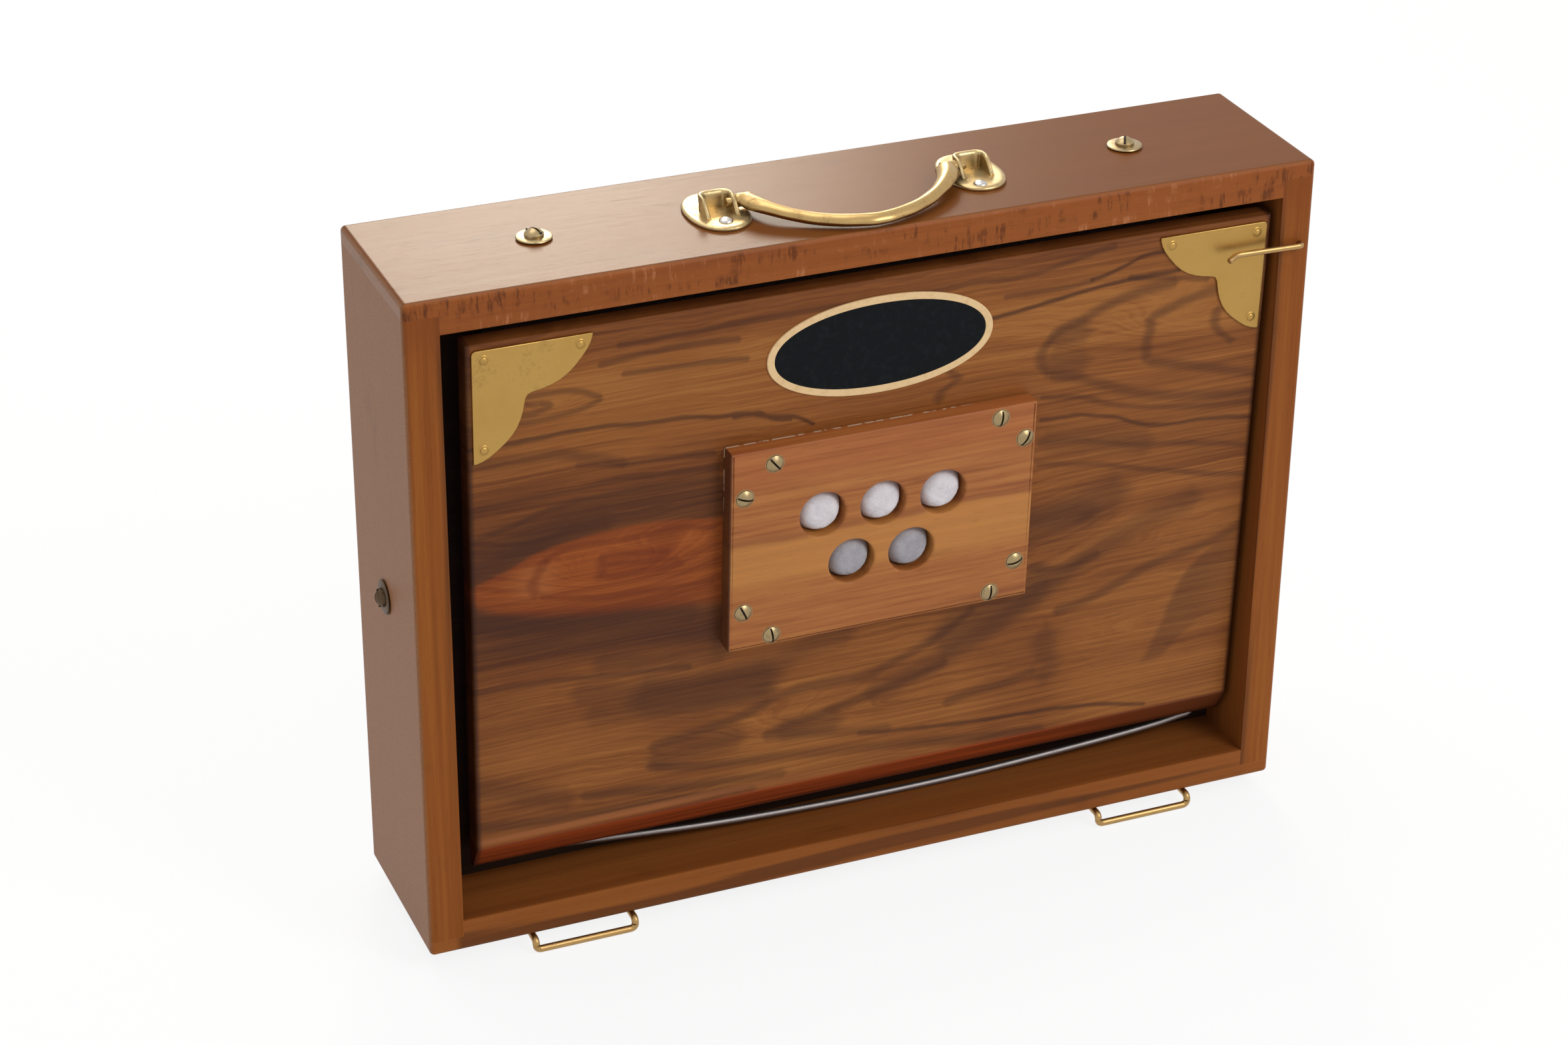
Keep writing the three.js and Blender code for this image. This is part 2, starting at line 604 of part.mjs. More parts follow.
// The reed board has a cell for each reed on its inner side, a sound hole through each cell,
// and a round-headed pivot screw for each lever on its outer side.
function reedBoard() {
  const sheet = block(
    [-CHEST_HALF, CHEST_HALF],
    [BACK_BOARDS_Y, REED_BOARD_BACK_Y],
    [CROSS_RAIL_Z + SEAT / 2, CHEST_TOP],
  );
  const cells = noteX.map((x, i) => {
    const half = (reedLength(i) * REED_SLOT_SHARE) / 2;
    const side = CELL_WIDTH / 2;
    const outline = outlineOf([
      [x - side, REED_CENTRE_Z - half, side],
      [x + side, REED_CENTRE_Z - half, side],
      [x + side, REED_CENTRE_Z + half, side],
      [x - side, REED_CENTRE_Z + half, side],
    ], SMALL_ARC_STEPS);
    return extruded("y", outline, BACK_BOARDS_Y - OVERRUN, BACK_BOARDS_Y + CELL_DEPTH);
  });
  const holes = noteX.map((x) => {
    const centre = [x, SOUND_HOLE_Z];
    return rod("y", SOUND_HOLE_RADIUS, centre, BACK_BOARDS_Y, REED_BOARD_BACK_Y + OVERRUN, BORE_SIDES);
  });
  const headY = REED_BOARD_BACK_Y + SEAT + LEVER_THICKNESS + SEAT;
  const pivots = noteX.flatMap((x) => {
    const centre = [x, LEVER_PIVOT_Z];
    const shank = rod("y", PIVOT_RADIUS, centre, REED_BOARD_BACK_Y - SEAT, headY + SEAT, WIRE_SIDES);
    const dome = lofted([
      ringAt(x, headY, PIVOT_HEAD_RADIUS),
      ringAt(x, headY + PIVOT_HEAD_HEIGHT, PIVOT_HEAD_RADIUS / 2),
    ]);
    return [shank, dome];
  });
  return joined(cut(sheet, ...cells, ...holes), ...pivots);
}

// A ring round a lever's pivot axis at a depth.
function ringAt(x, y, radius) {
  return circle(radius, SMALL_SIDES).map((point) => new THREE.Vector3(x + point.x, y, LEVER_PIVOT_Z + point.y));
}
add("reed_board", reedBoard(), plainWood);

add(
  "reservoir_board",
  cut(
    block(
      [-CHEST_HALF, CHEST_HALF],
      [BACK_BOARDS_Y, BACK_BOARDS_Y + CHEST_BOARD],
      [CHEST_BOTTOM, CROSS_RAIL_Z - SEAT / 2],
    ),
    rod(
      "y",
      AIR_HOLE_RADIUS,
      [0, AIR_HOLE_Z],
      BACK_BOARDS_Y - OVERRUN,
      BACK_BOARDS_Y + CHEST_BOARD + OVERRUN,
      HOLE_SIDES,
    ),
  ),
  plainWood,
);

// A reed: a brass plate with a slot, and a tongue held at its heel by two rivets.
function reed(length) {
  const half = length / 2;
  const slotHalf = half * REED_SLOT_SHARE;
  const plate = cut(
    extruded(
      "y",
      outlineOf([
        [-REED_PLATE_WIDTH / 2, -half, REED_RIVET_RADIUS],
        [REED_PLATE_WIDTH / 2, -half, REED_RIVET_RADIUS],
        [REED_PLATE_WIDTH / 2, half, REED_RIVET_RADIUS],
        [-REED_PLATE_WIDTH / 2, half, REED_RIVET_RADIUS],
      ], 1),
      0,
      REED_PLATE_THICKNESS,
    ),
    block(
      [-REED_SLOT_WIDTH / 2, REED_SLOT_WIDTH / 2],
      [-OVERRUN, REED_PLATE_THICKNESS + OVERRUN],
      [-slotHalf, slotHalf],
    ),
  );
  const heel = block(
    [-REED_SLOT_WIDTH / 2 - REED_RIVET_RADIUS, REED_SLOT_WIDTH / 2 + REED_RIVET_RADIUS],
    [-REED_HEEL_THICKNESS, SEAT],
    [-slotHalf - REED_HEEL_LENGTH, -slotHalf],
  );
  const tongue = block(
    [-REED_TONGUE_WIDTH / 2, REED_TONGUE_WIDTH / 2],
    [-REED_TONGUE_RISE - REED_TONGUE_THICKNESS, -REED_TONGUE_RISE],
    [-slotHalf - SEAT, slotHalf - SEAT],
  );
  const rivets = [-1, 1].map((place) =>
    rod(
      "y",
      REED_RIVET_RADIUS,
      [0, -slotHalf - REED_HEEL_LENGTH / 2 + (place * REED_RIVET_PITCH) / 2],
      -REED_HEEL_THICKNESS - REED_RIVET_HEIGHT,
      0,
      WIRE_SIDES,
    ),
  );
  return geometryOf(joined(plate, heel, tongue, ...rivets));
}

// A tuning lever: a rounded paddle on a narrow neck, with a finger nib at its tip.
function lever() {
  const base = REED_BOARD_BACK_Y + SEAT;
  const boss = LEVER_BOSS_RADIUS;
  const outline = outlineOf([
    [-boss, -boss, boss],
    [boss, -boss, boss],
    [boss, boss / 2, boss],
    [LEVER_NECK_HALF_WIDTH, 2 * boss],
    [LEVER_NECK_HALF_WIDTH, LEVER_REACH / 2 - boss, boss],
    [LEVER_HALF_WIDTH, LEVER_REACH / 2 + boss / 2, boss],
    [LEVER_HALF_WIDTH, LEVER_REACH, LEVER_HALF_WIDTH / 2],
    [-LEVER_HALF_WIDTH, LEVER_REACH, LEVER_HALF_WIDTH / 2],
    [-LEVER_HALF_WIDTH, LEVER_REACH / 2 + boss / 2, boss],
    [-LEVER_NECK_HALF_WIDTH, LEVER_REACH / 2 - boss, boss],
    [-LEVER_NECK_HALF_WIDTH, 2 * boss],
    [-boss, boss / 2, boss],
  ], SMALL_ARC_STEPS);
  const paddle = extruded("y", outline, base, base + LEVER_THICKNESS);
  const hole = rod("y", PIVOT_RADIUS + SEAT, [0, 0], base - OVERRUN, base + LEVER_THICKNESS + OVERRUN, WIRE_SIDES);
  const nibSide = outlineOf([
    [base + LEVER_THICKNESS / 2, LEVER_REACH - LEVER_NIB_LENGTH - LEVER_THICKNESS / 2],
    [base + LEVER_THICKNESS + LEVER_NIB_HEIGHT, LEVER_REACH - LEVER_NIB_LENGTH, LEVER_THICKNESS / 4],
    [base + LEVER_THICKNESS + LEVER_NIB_HEIGHT, LEVER_REACH - LEVER_NIB_LENGTH / 2, LEVER_THICKNESS / 4],
    [base + LEVER_THICKNESS / 2, LEVER_REACH - LEVER_THICKNESS / 4],
  ]);
  const nib = extruded("x", nibSide, -LEVER_NECK_HALF_WIDTH, LEVER_NECK_HALF_WIDTH);
  return geometryOf(joined(cut(paddle, hole), nib));
}

noteX.forEach((x, i) => {
  const number = String(i + 1).padStart(2, "0");
  const reedMesh = add(`reed_${number}`, reed(reedLength(i)), reedBrass);
  reedMesh.position.set(x, BACK_BOARDS_Y - SEAT - REED_PLATE_THICKNESS, REED_CENTRE_Z);
  const leverMesh = add(`tuning_lever_${number}`, lever(), leverWood);
  leverMesh.position.set(x, 0, LEVER_PIVOT_Z);
});

// Pump panel and what rides on it, in a frame whose y = 0 is the panel's back and z = 0 its hinge.
const pump = new THREE.Group();
pump.position.set(PANEL_X, PANEL_BACK_Y, HINGE_Z);
pump.rotation.x = PANEL_LEAN;
box.add(pump);

const plateFrontY = -PANEL_THICKNESS - SEAT - VALVE_PLATE_THICKNESS;
const windowHalf = VALVE_PLATE_WIDTH / 2 - VALVE_WINDOW_MARGIN;
const windowRise = VALVE_PLATE_HEIGHT / 2 - VALVE_WINDOW_MARGIN;

function pumpPanel() {
  const half = PANEL_WIDTH / 2;
  const side = outlineOf([
    [0, -PANEL_DROP],
    [0, PANEL_RISE],
    [-PANEL_THICKNESS, PANEL_RISE, PANEL_ARRIS],
    [-PANEL_THICKNESS, BEVEL_RISE - PANEL_DROP, PANEL_ARRIS],
    [-BEVEL_TIP, -PANEL_DROP, PANEL_ARRIS],
  ]);
  const plan = outlineOf([
    [-half, 0],
    [-half, -PANEL_THICKNESS, PANEL_ARRIS],
    [half, -PANEL_THICKNESS, PANEL_ARRIS],
    [half, 0],
  ]);
  const board = extruded("x", side, -half, half).intersect(extruded("z", plan, -PANEL_DROP, PANEL_RISE));
  const window = block(
    [-windowHalf, windowHalf],
    [-PANEL_THICKNESS - OVERRUN, OVERRUN],
    [VALVE_PLATE_Z - windowRise, VALVE_PLATE_Z + windowRise],
  );
  return cut(board, window);
}
add("pump_panel", pumpPanel(), panelWood, pump);

function rectangleAt(y, halfWidth, halfHeight) {
  return [
    [-halfWidth, -halfHeight],
    [halfWidth, -halfHeight],
    [halfWidth, halfHeight],
    [-halfWidth, halfHeight],
  ].map(([x, z]) => new THREE.Vector3(x, y, VALVE_PLATE_Z + z));
}

function valvePlate() {
  const backY = -PANEL_THICKNESS - SEAT;
  const halfWidth = VALVE_PLATE_WIDTH / 2;
  const halfHeight = VALVE_PLATE_HEIGHT / 2;
  const plate = lofted([
    rectangleAt(plateFrontY, halfWidth - VALVE_CHAMFER, halfHeight - VALVE_CHAMFER),
    rectangleAt(plateFrontY + VALVE_CHAMFER, halfWidth, halfHeight),
    rectangleAt(backY, halfWidth, halfHeight),
  ]);
  const upper = VALVE_PLATE_Z + VALVE_ROW_RISE;
  const places = [
    ...[-1, 0, 1].map((step) => [step * VALVE_HOLE_SPACING, upper]),
    ...[-1, 1].map((step) => [(step * VALVE_HOLE_SPACING) / 2, upper - VALVE_ROW_GAP]),
  ];
  return cut(
    plate,
    ...places.map((place) => rod("y", VALVE_HOLE_RADIUS, place, plateFrontY - OVERRUN, backY + OVERRUN)),
  );
}
add("valve_plate", valvePlate(), valveWood, pump);

add(
  "pump_valve_flap",
  block(
    [FLAP_MARGIN - windowHalf, windowHalf - FLAP_MARGIN],
    [-PANEL_THICKNESS, FLAP_THICKNESS - PANEL_THICKNESS],
    [VALVE_PLATE_Z + FLAP_MARGIN - windowRise, VALVE_PLATE_Z + windowRise - FLAP_MARGIN],
  ),
  leather,
  pump,
);

// A corner plate with two lobes that meet in a cusp.
function cornerPlate(side) {
  const shape = new THREE.Shape();
  const far = PANEL_WIDTH / 2 - BRASS_INSET;
  const top = PANEL_RISE - BRASS_INSET;
  const at = (along, down) => [side * (far - along), top - down];
  shape.moveTo(...at(BRASS_ROUND, 0));
  shape.lineTo(...at(BRASS_LEG, 0));
  shape.lineTo(...at(BRASS_LEG, BRASS_TIP));
  shape.bezierCurveTo(
    ...at(BRASS_LEG - BRASS_TIP, BRASS_SHOULDER_NEAR / 2),
    ...at(BRASS_SHOULDER_FAR + BRASS_SHOULDER_NEAR / 2, BRASS_SHOULDER_NEAR - BRASS_TIP / 2),
    ...at(BRASS_SHOULDER_FAR, BRASS_SHOULDER_NEAR),
  );
  shape.lineTo(...at(BRASS_CUSP, BRASS_CUSP));
  shape.lineTo(...at(BRASS_SHOULDER_NEAR, BRASS_SHOULDER_FAR));
  shape.bezierCurveTo(
    ...at(BRASS_SHOULDER_NEAR - BRASS_TIP / 2, BRASS_SHOULDER_FAR + BRASS_SHOULDER_NEAR / 2),
    ...at(BRASS_SHOULDER_NEAR / 2, BRASS_LEG - BRASS_TIP),
    ...at(BRASS_TIP, BRASS_LEG),
  );
  shape.lineTo(...at(0, BRASS_LEG));
  shape.lineTo(...at(0, BRASS_ROUND));
  shape.quadraticCurveTo(...at(0, 0), ...at(BRASS_ROUND, 0));
  const back = -PANEL_THICKNESS - SEAT;
  return extruded("y", shape, back - BRASS_THICKNESS, back);
}
add("brass_corner_left", cornerPlate(-1), brass, pump);
add("brass_corner_right", cornerPlate(1), brass, pump);

const panelBackAt = (z) => PANEL_BACK_Y - (z - HINGE_Z) * Math.tan(PANEL_LEAN);
const battenTop = HINGE_Z - HINGE_STRIP;
add(
  "pump_hinge_batten",
  block(
    [-BELLOWS_HALF_WIDTH, BELLOWS_HALF_WIDTH],
    [panelBackAt(battenTop - BATTEN_HEIGHT) + SEAT, CHEST_FRONT_Y - SEAT],
    [battenTop - BATTEN_HEIGHT, battenTop],
  ),
  plainWood,
);

// Bellows: a frame of folded leather between two faces, creased inwards at the sides and the top.
// At the hinge it is a plain strip. near and far give each face's y at a height.
function bellows({ halfWidth, bottom, top, near, far, fold }) {
  const section = [
    [0, 0, 0],
    [1, 0, 0.5],
    [0, 0, 1],
    [0, 1, 1],
    [1, 1, 0.5],
    [0, 1, 0],
  ];
  const corners = [
    [-1, -1],
    [1, -1],
    [1, 1],
    [-1, 1],
  ].map(([side, level]) =>
    section.map(([foldShare, skinShare, depthShare]) => {
      const inset = foldShare * fold + skinShare * BELLOWS_SKIN;
      const z = level > 0 ? top - inset : bottom + skinShare * BELLOWS_HINGE_SKIN;
      const y = THREE.MathUtils.lerp(near(z), far(z), depthShare);
      return new THREE.Vector3(side * (halfWidth - inset), y, z);
    }),
  );
  const triangles = corners.flatMap((here, k) => {
    const there = corners[(k + 1) % corners.length];
    return here.flatMap((point, i) => {
      const next = (i + 1) % here.length;
      return [
        [point, there[i], there[next]],
        [point, there[next], here[next]],
      ];
    });
  });
  return faced(triangles);
}

add(
  "pump_bellows",
  bellows({
    halfWidth: BELLOWS_HALF_WIDTH,
    bottom: HINGE_Z,
    top: HINGE_Z + BELLOWS_TOP,
    near: (z) => panelBackAt(z) + SEAT,
    far: () => CHEST_FRONT_Y - SEAT,
    fold: BELLOWS_FOLD,
  }),
  bellowsSkin,
);

// The pump spring: its bow lies on the case's floor, and its two arms bear on the panel's back
// outside the bellows.
function pumpSpring() {
  const floor = BOARD + SEAT + PUMP_SPRING_RADIUS;
  const behind = PUMP_SPRING_RADIUS + SEAT + SEAT;
  const half = PUMP_SPRING_HALF_WIDTH;
  const bowZ = (x) => floor + PUMP_SPRING_SAG * ((x - PUMP_SPRING_LOW_X) / half) ** 2;
  const bowY = panelBackAt(BOARD) + behind;
  const tipZ = HINGE_Z + PUMP_SPRING_RISE;
  const midZ = (HINGE_Z + tipZ) / 2;
  const midY = (panelBackAt(midZ) + CHEST_FRONT_Y) / 2;
  const arm = (side) => [
    new THREE.Vector3(side * half, panelBackAt(tipZ) + behind, tipZ),
    new THREE.Vector3(side * half, midY, midZ),
    new THREE.Vector3(side * half, bowY, bowZ(side * half) + PUMP_SPRING_BEND),
  ];
  const bowShares = [-0.95, -0.6, -0.25, 0.17, 0.55, 0.95];
  const bow = bowShares.map((share) => new THREE.Vector3(share * half, bowY, bowZ(share * half)));
  const path = new THREE.CatmullRomCurve3([...arm(-1), ...bow, ...arm(1).reverse()], false, "centripetal");
  return wire(path.getPoints(SPRING_STEPS), PUMP_SPRING_RADIUS);
}
add("pump_spring", pumpSpring(), steel);

// Reservoir
const reservoirY = BACK_BOARDS_Y + CHEST_BOARD + RESERVOIR_GAP;
const reservoirBattenTop = RESERVOIR_HINGE_Z + RESERVOIR_BATTEN_HEIGHT;
add(
  "reservoir_panel",
  extruded(
    "x",
    outlineOf([
      [reservoirY, RESERVOIR_HINGE_Z],
      [reservoirY + RESERVOIR_PANEL_THICKNESS, RESERVOIR_HINGE_Z, PANEL_ARRIS],
      [reservoirY + RESERVOIR_PANEL_THICKNESS, RESERVOIR_TOP, PANEL_ARRIS],
      [reservoirY, RESERVOIR_TOP],
    ]),
    -RESERVOIR_PANEL_HALF_WIDTH,
    RESERVOIR_PANEL_HALF_WIDTH,
  ),
  panelWood,
);
add(
  "reservoir_hinge_batten",
  block(
    [-BELLOWS_HALF_WIDTH, BELLOWS_HALF_WIDTH],
    [BACK_BOARDS_Y + CHEST_BOARD + SEAT, reservoirY - SEAT],
    [RESERVOIR_HINGE_Z, reservoirBattenTop],
  ),
  plainWood,
);
add(
  "reservoir_bellows",
  bellows({
    halfWidth: BELLOWS_HALF_WIDTH,
    bottom: reservoirBattenTop + HINGE_STRIP,
    top: RESERVOIR_TOP - RESERVOIR_BELLOWS_TOP_GAP,
    near: () => BACK_BOARDS_Y + CHEST_BOARD + SEAT,
    far: () => reservoirY - SEAT,
    fold: RESERVOIR_FOLD,
  }),
  bellowsSkin,
);

function reservoirSpring(side) {
  const restY = reservoirY + RESERVOIR_PANEL_THICKNESS + SEAT + RESERVOIR_SPRING_RADIUS;
  const tipX = RESERVOIR_PANEL_HALF_WIDTH - RESERVOIR_SPRING_LAP;
  const tipZ = RESERVOIR_TOP - RESERVOIR_SPRING_TIP_DROP;
  const corners = [
    [INSIDE_HALF + RESERVOIR_SPRING_DEPTH, RESERVOIR_SPRING_Y, springRootZ],
    [INSIDE_HALF - RESERVOIR_SPRING_ELBOW, RESERVOIR_SPRING_Y, springRootZ],
    [tipX + RESERVOIR_SPRING_ELBOW, restY, tipZ],
    [tipX, restY, tipZ],
  ].map(([x, y, z]) => new THREE.Vector3(side * x, y, z));
  return wire(bentPath(corners, RESERVOIR_SPRING_ELBOW / 2), RESERVOIR_SPRING_RADIUS);
}
add("reservoir_spring_left", reservoirSpring(-1), steel);
add("reservoir_spring_right", reservoirSpring(1), steel);

// Latch: a wire whose shank turns in the right stile. Its arm crosses the panel's corner, slopes in
// towards the stile's face and ends in a finger tab.
function latch() {
  const armY = CASE_FRONT_Y - SEAT - LATCH_RADIUS;
  const tip = LATCH_X - LATCH_REACH;
  const corners = [
    [LATCH_X, CASE_FRONT_Y + LATCH_SHANK, LATCH_Z],
    [LATCH_X, armY - LATCH_STANDOFF, LATCH_Z],
    [tip, armY, LATCH_Z],
    [tip - LATCH_TAB, armY - LATCH_TAB / 2, LATCH_Z - LATCH_TAB / 4],
  ].map((corner) => new THREE.Vector3(...corner));
  return wire(bentPath(corners, LATCH_STANDOFF + LATCH_RADIUS / 2), LATCH_RADIUS);
}
add("latch_wire", latch(), brass);

// Wire feet: one wire bent into two runners under the case, turned down at the front and the back.
// Its two ends butt under the saddle strap that holds it.
const runnerZ = -SEAT - FOOT_RADIUS;
function foot(x) {
  const near = x - FOOT_WIDTH / 2 + FOOT_RADIUS;
  const far = x + FOOT_WIDTH / 2 - FOOT_RADIUS;
  const front = CASE_FRONT_Y - FOOT_STANDOFF;
  const back = CASE_BACK_Y + FOOT_STANDOFF;
  const corners = [
    [near, SEAT, runnerZ],
    [near, back, runnerZ],
    [near, back, -FOOT_DROP],
    [far, back, -FOOT_DROP],
    [far, back, runnerZ],
    [far, front, runnerZ],
    [far, front, -FOOT_DROP],
    [near, front, -FOOT_DROP],
    [near, front, runnerZ],
    [near, -SEAT, runnerZ],
  ].map((corner) => new THREE.Vector3(...corner));
  return wire(bentPath(corners, (FOOT_DROP + runnerZ) / 2), FOOT_RADIUS);
}

function strap(x) {
  const reach = STRAP_LENGTH / 2;
  const y = [-STRAP_WIDTH / 2, STRAP_WIDTH / 2];
  const runners = [-1, 1].map((side) => x + side * (FOOT_WIDTH / 2 - FOOT_RADIUS));
  const saddles = runners.map((place) =>
    rod("y", FOOT_RADIUS + SEAT + STRAP_THICKNESS, [place, runnerZ], ...y, ROUND_SIDES),
  );
  const channels = runners.map((place) =>
    rod("y", FOOT_RADIUS + SEAT, [place, runnerZ], y[0] - OVERRUN, y[1] + OVERRUN, ROUND_SIDES),
  );
  const bar = block([x - reach, x + reach], y, [-SEAT - STRAP_THICKNESS, -SEAT]);
  const above = block([x - reach, x + reach], [y[0] - OVERRUN, y[1] + OVERRUN], [-SEAT, OVERRUN]);
  return cut(joined(bar, ...saddles), ...channels, above);
}
add("wire_foot_left", foot(FOOT_SHIFT - FOOT_X), brass);
add("wire_foot_right", foot(FOOT_SHIFT + FOOT_X), brass);
add("foot_strap_left", strap(FOOT_SHIFT - FOOT_X), brass);
add("foot_strap_right", strap(FOOT_SHIFT + FOOT_X), brass);

// Handle: two leaf-shaped plates, each with a lug open to the front, and a bail pivoting in their
// inner cheeks.
const plateZ = CASE_HEIGHT + SEAT;
const pivotZ = CASE_HEIGHT + BAIL_PIVOT_RISE;
const handle = new THREE.Group();
handle.position.set(HANDLE_X, HANDLE_Y, 0);
box.add(handle);

function handlePlate(side) {
  const x = side * PLATE_X;
  const leaf = (z, shrink) =>
    circle(1, HOLE_SIDES).map(
      (point) =>
        new THREE.Vector3(
          x + point.x * (PLATE_HALF_WIDTH - shrink),
          PLATE_Y + point.y * (PLATE_HALF_LENGTH - shrink),
          z,
        ),
    );
  const plate = lofted([
    leaf(plateZ, 0).reverse(),
    leaf(plateZ + PLATE_EDGE, 0).reverse(),
    leaf(plateZ + PLATE_THICKNESS, PLATE_BEVEL).reverse(),
  ]);
  const cheekOutline = outlineOf([
    [LUG_FRONT_Y, plateZ + PLATE_EDGE],
    [LUG_BACK_Y, plateZ + PLATE_EDGE],
    [LUG_BACK_Y, plateZ + LUG_HEIGHT, LUG_WALL / 2],
    [LUG_CROWN_Y, plateZ + LUG_HEIGHT, LUG_WALL],
    [LUG_FRONT_Y, plateZ + LUG_FRONT_HEIGHT],
  ]);
  const span = (from, width) => [side * from, side * (from + width)].sort((a, b) => a - b);
  const cheeks = [LUG_NEAR, LUG_NEAR + LUG_WIDTH - LUG_WALL].map((from) =>
    extruded("x", cheekOutline, ...span(from, LUG_WALL)),
  );
  const back = block(
    span(LUG_NEAR, LUG_WIDTH),
    [LUG_BACK_Y - LUG_WALL, LUG_BACK_Y],
    [plateZ + PLATE_EDGE, plateZ + LUG_HEIGHT - LUG_WALL / 2],
  );
  const pinHole = rod(
    "x",
    BAIL_PIN_RADIUS + SEAT,
    [0, pivotZ],
    ...span(LUG_NEAR - OVERRUN, OVERRUN + LUG_WALL + OVERRUN),
    HOLE_SIDES,
  );
  return cut(joined(plate, ...cheeks, back), pinHole);
}
add("handle_plate_left", handlePlate(-1), brass, handle);
add("handle_plate_right", handlePlate(1), brass, handle);

// The bail's centre line is a superellipse that starts at one pivot, lies on the top board in front
// and ends at the other pivot. Its section is a flared neck at each end and a slim ridged grip between.
function bail() {
  const sectionShares = [
    [1, 0],
    [0.72, 0.62],
    [0, 1],
    [-0.72, 0.62],
    [-1, 0],
    [-0.72, -0.62],
    [0, -1],
    [0.72, -0.62],
  ];
  const centre = (share) => {
    const angle = share * Math.PI;
    const across = -Math.sign(Math.cos(angle)) * Math.abs(Math.cos(angle)) ** BAIL_CURVE_SHARE;
    const out = Math.abs(Math.sin(angle)) ** BAIL_CURVE_SHARE;
    const drop = THREE.MathUtils.smoothstep(out, ...BAIL_DROP_SHARES);
    return new THREE.Vector3(
      across * BAIL_HALF_SPAN,
      -out * BAIL_DEPTH,
      THREE.MathUtils.lerp(pivotZ, CASE_HEIGHT + BAIL_REST_RISE, drop),
    );
  };
  const rings = [];
  for (let step = 0; step <= BAIL_RINGS; step += 1) {
    const share = step / BAIL_RINGS;
    const here = centre(share);
    const ahead = centre(Math.min(share + BAIL_LOOK_SHARE, 1));
    const behind = centre(Math.max(share - BAIL_LOOK_SHARE, 0));
    const along = ahead.sub(behind).setZ(0).normalize();
    const aside = new THREE.Vector3(along.y, -along.x, 0);
    const grip = THREE.MathUtils.smoothstep(Math.abs(Math.sin(share * Math.PI)), ...BAIL_GRIP_SHARES);
    const halfWidth = THREE.MathUtils.lerp(BAIL_NECK_HALF_WIDTH, BAIL_GRIP_HALF_WIDTH, grip);
    const halfHeight = THREE.MathUtils.lerp(BAIL_NECK_HALF_HEIGHT, BAIL_GRIP_HALF_HEIGHT, grip);
    rings.push(
      sectionShares.map(([u, v]) =>
        here.clone().addScaledVector(aside, u * halfWidth).addScaledVector(Z, v * halfHeight),
      ),
    );
  }
  const ends = [-1, 1].map((side) => {
    const from = side * (BAIL_HALF_SPAN - BAIL_NECK_HALF_WIDTH / 2);
    const to = side * (LUG_NEAR - SEAT);
    const ear = rod("x", BAIL_EAR_RADIUS, [0, pivotZ], Math.min(from, to), Math.max(from, to), HOLE_SIDES);
    const pinEnd = side * (LUG_NEAR + LUG_WALL + BAIL_PIN_RADIUS);
    const pin = rod("x", BAIL_PIN_RADIUS, [0, pivotZ], Math.min(from, pinEnd), Math.max(from, pinEnd), SMALL_SIDES);
    return joined(ear, pin);
  });
  return joined(lofted(rings), ...ends);
}
add("handle_bail", bail(), brass, handle);

export default root;
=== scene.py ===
"""The looks of a shruti box: figured wood, brass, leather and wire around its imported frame."""

import json
import math

import bmesh
import bpy
import numpy as np
from bpy.props import FloatProperty, FloatVectorProperty, PointerProperty
from mathutils import Matrix, Vector
from mathutils.geometry import tessellate_polygon


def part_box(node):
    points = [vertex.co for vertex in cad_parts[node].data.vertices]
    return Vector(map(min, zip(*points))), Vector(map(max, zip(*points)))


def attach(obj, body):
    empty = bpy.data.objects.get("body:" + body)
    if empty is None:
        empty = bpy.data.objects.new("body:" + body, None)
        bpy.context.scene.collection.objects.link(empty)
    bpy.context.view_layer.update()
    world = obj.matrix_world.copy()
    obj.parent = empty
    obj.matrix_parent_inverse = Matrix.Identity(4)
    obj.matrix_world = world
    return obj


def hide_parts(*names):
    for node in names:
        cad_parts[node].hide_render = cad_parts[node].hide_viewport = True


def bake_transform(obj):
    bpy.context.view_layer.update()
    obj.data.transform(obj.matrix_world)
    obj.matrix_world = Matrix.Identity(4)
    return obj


bl_info = {
    "name": "Shruti box",
    "version": (1, 0, 0),
    "blender": (4, 5, 0),
    "location": "3D View > Sidebar > Shruti box",
    "description": "Makes the visible pieces and the finishes of a shruti box",
    "category": "Object",
}

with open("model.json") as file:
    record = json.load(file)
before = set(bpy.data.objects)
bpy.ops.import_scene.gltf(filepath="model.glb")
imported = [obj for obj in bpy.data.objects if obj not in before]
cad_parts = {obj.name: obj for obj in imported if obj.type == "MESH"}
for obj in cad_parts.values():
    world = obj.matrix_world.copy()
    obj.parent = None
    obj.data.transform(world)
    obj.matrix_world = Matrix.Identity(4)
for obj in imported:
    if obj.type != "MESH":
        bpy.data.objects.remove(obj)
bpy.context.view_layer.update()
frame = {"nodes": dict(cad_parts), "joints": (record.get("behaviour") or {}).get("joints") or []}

# Shapes are worked out in millimetres and made in metres.
MM = 0.001


def edges_of(node):
    """Lowest and highest corner of a node in millimetres."""
    low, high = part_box(node)
    return np.array(low) / MM, np.array(high) / MM


def joint_place(name):
    """Where a joint is at rest, in millimetres."""
    return np.array(next(joint for joint in frame["joints"] if joint["name"] == name)["pos_m"]) / MM


UNDERSIDE = edges_of("case_bottom")[0][2]
CASE_LOW, CASE_HIGH = edges_of("case_top")
CASE_TOP = CASE_HIGH[2]
CASE_FRONT = CASE_LOW[1]
CASE_BACK = CASE_HIGH[1]
INSIDE_HALF = edges_of("case_right")[0][0]
BOARD = 15.0
HINGE = joint_place("pump_hinge")
PANEL_LEAN = math.radians(2.16)
PANEL_THICKNESS = 9.5
PANEL_ARRIS = 2.2
PANEL_EDGE = 180.5 - PANEL_ARRIS
PANEL_TOP = 240.0 - PANEL_ARRIS
SIDES = ((-1, "left"), (1, "right"))

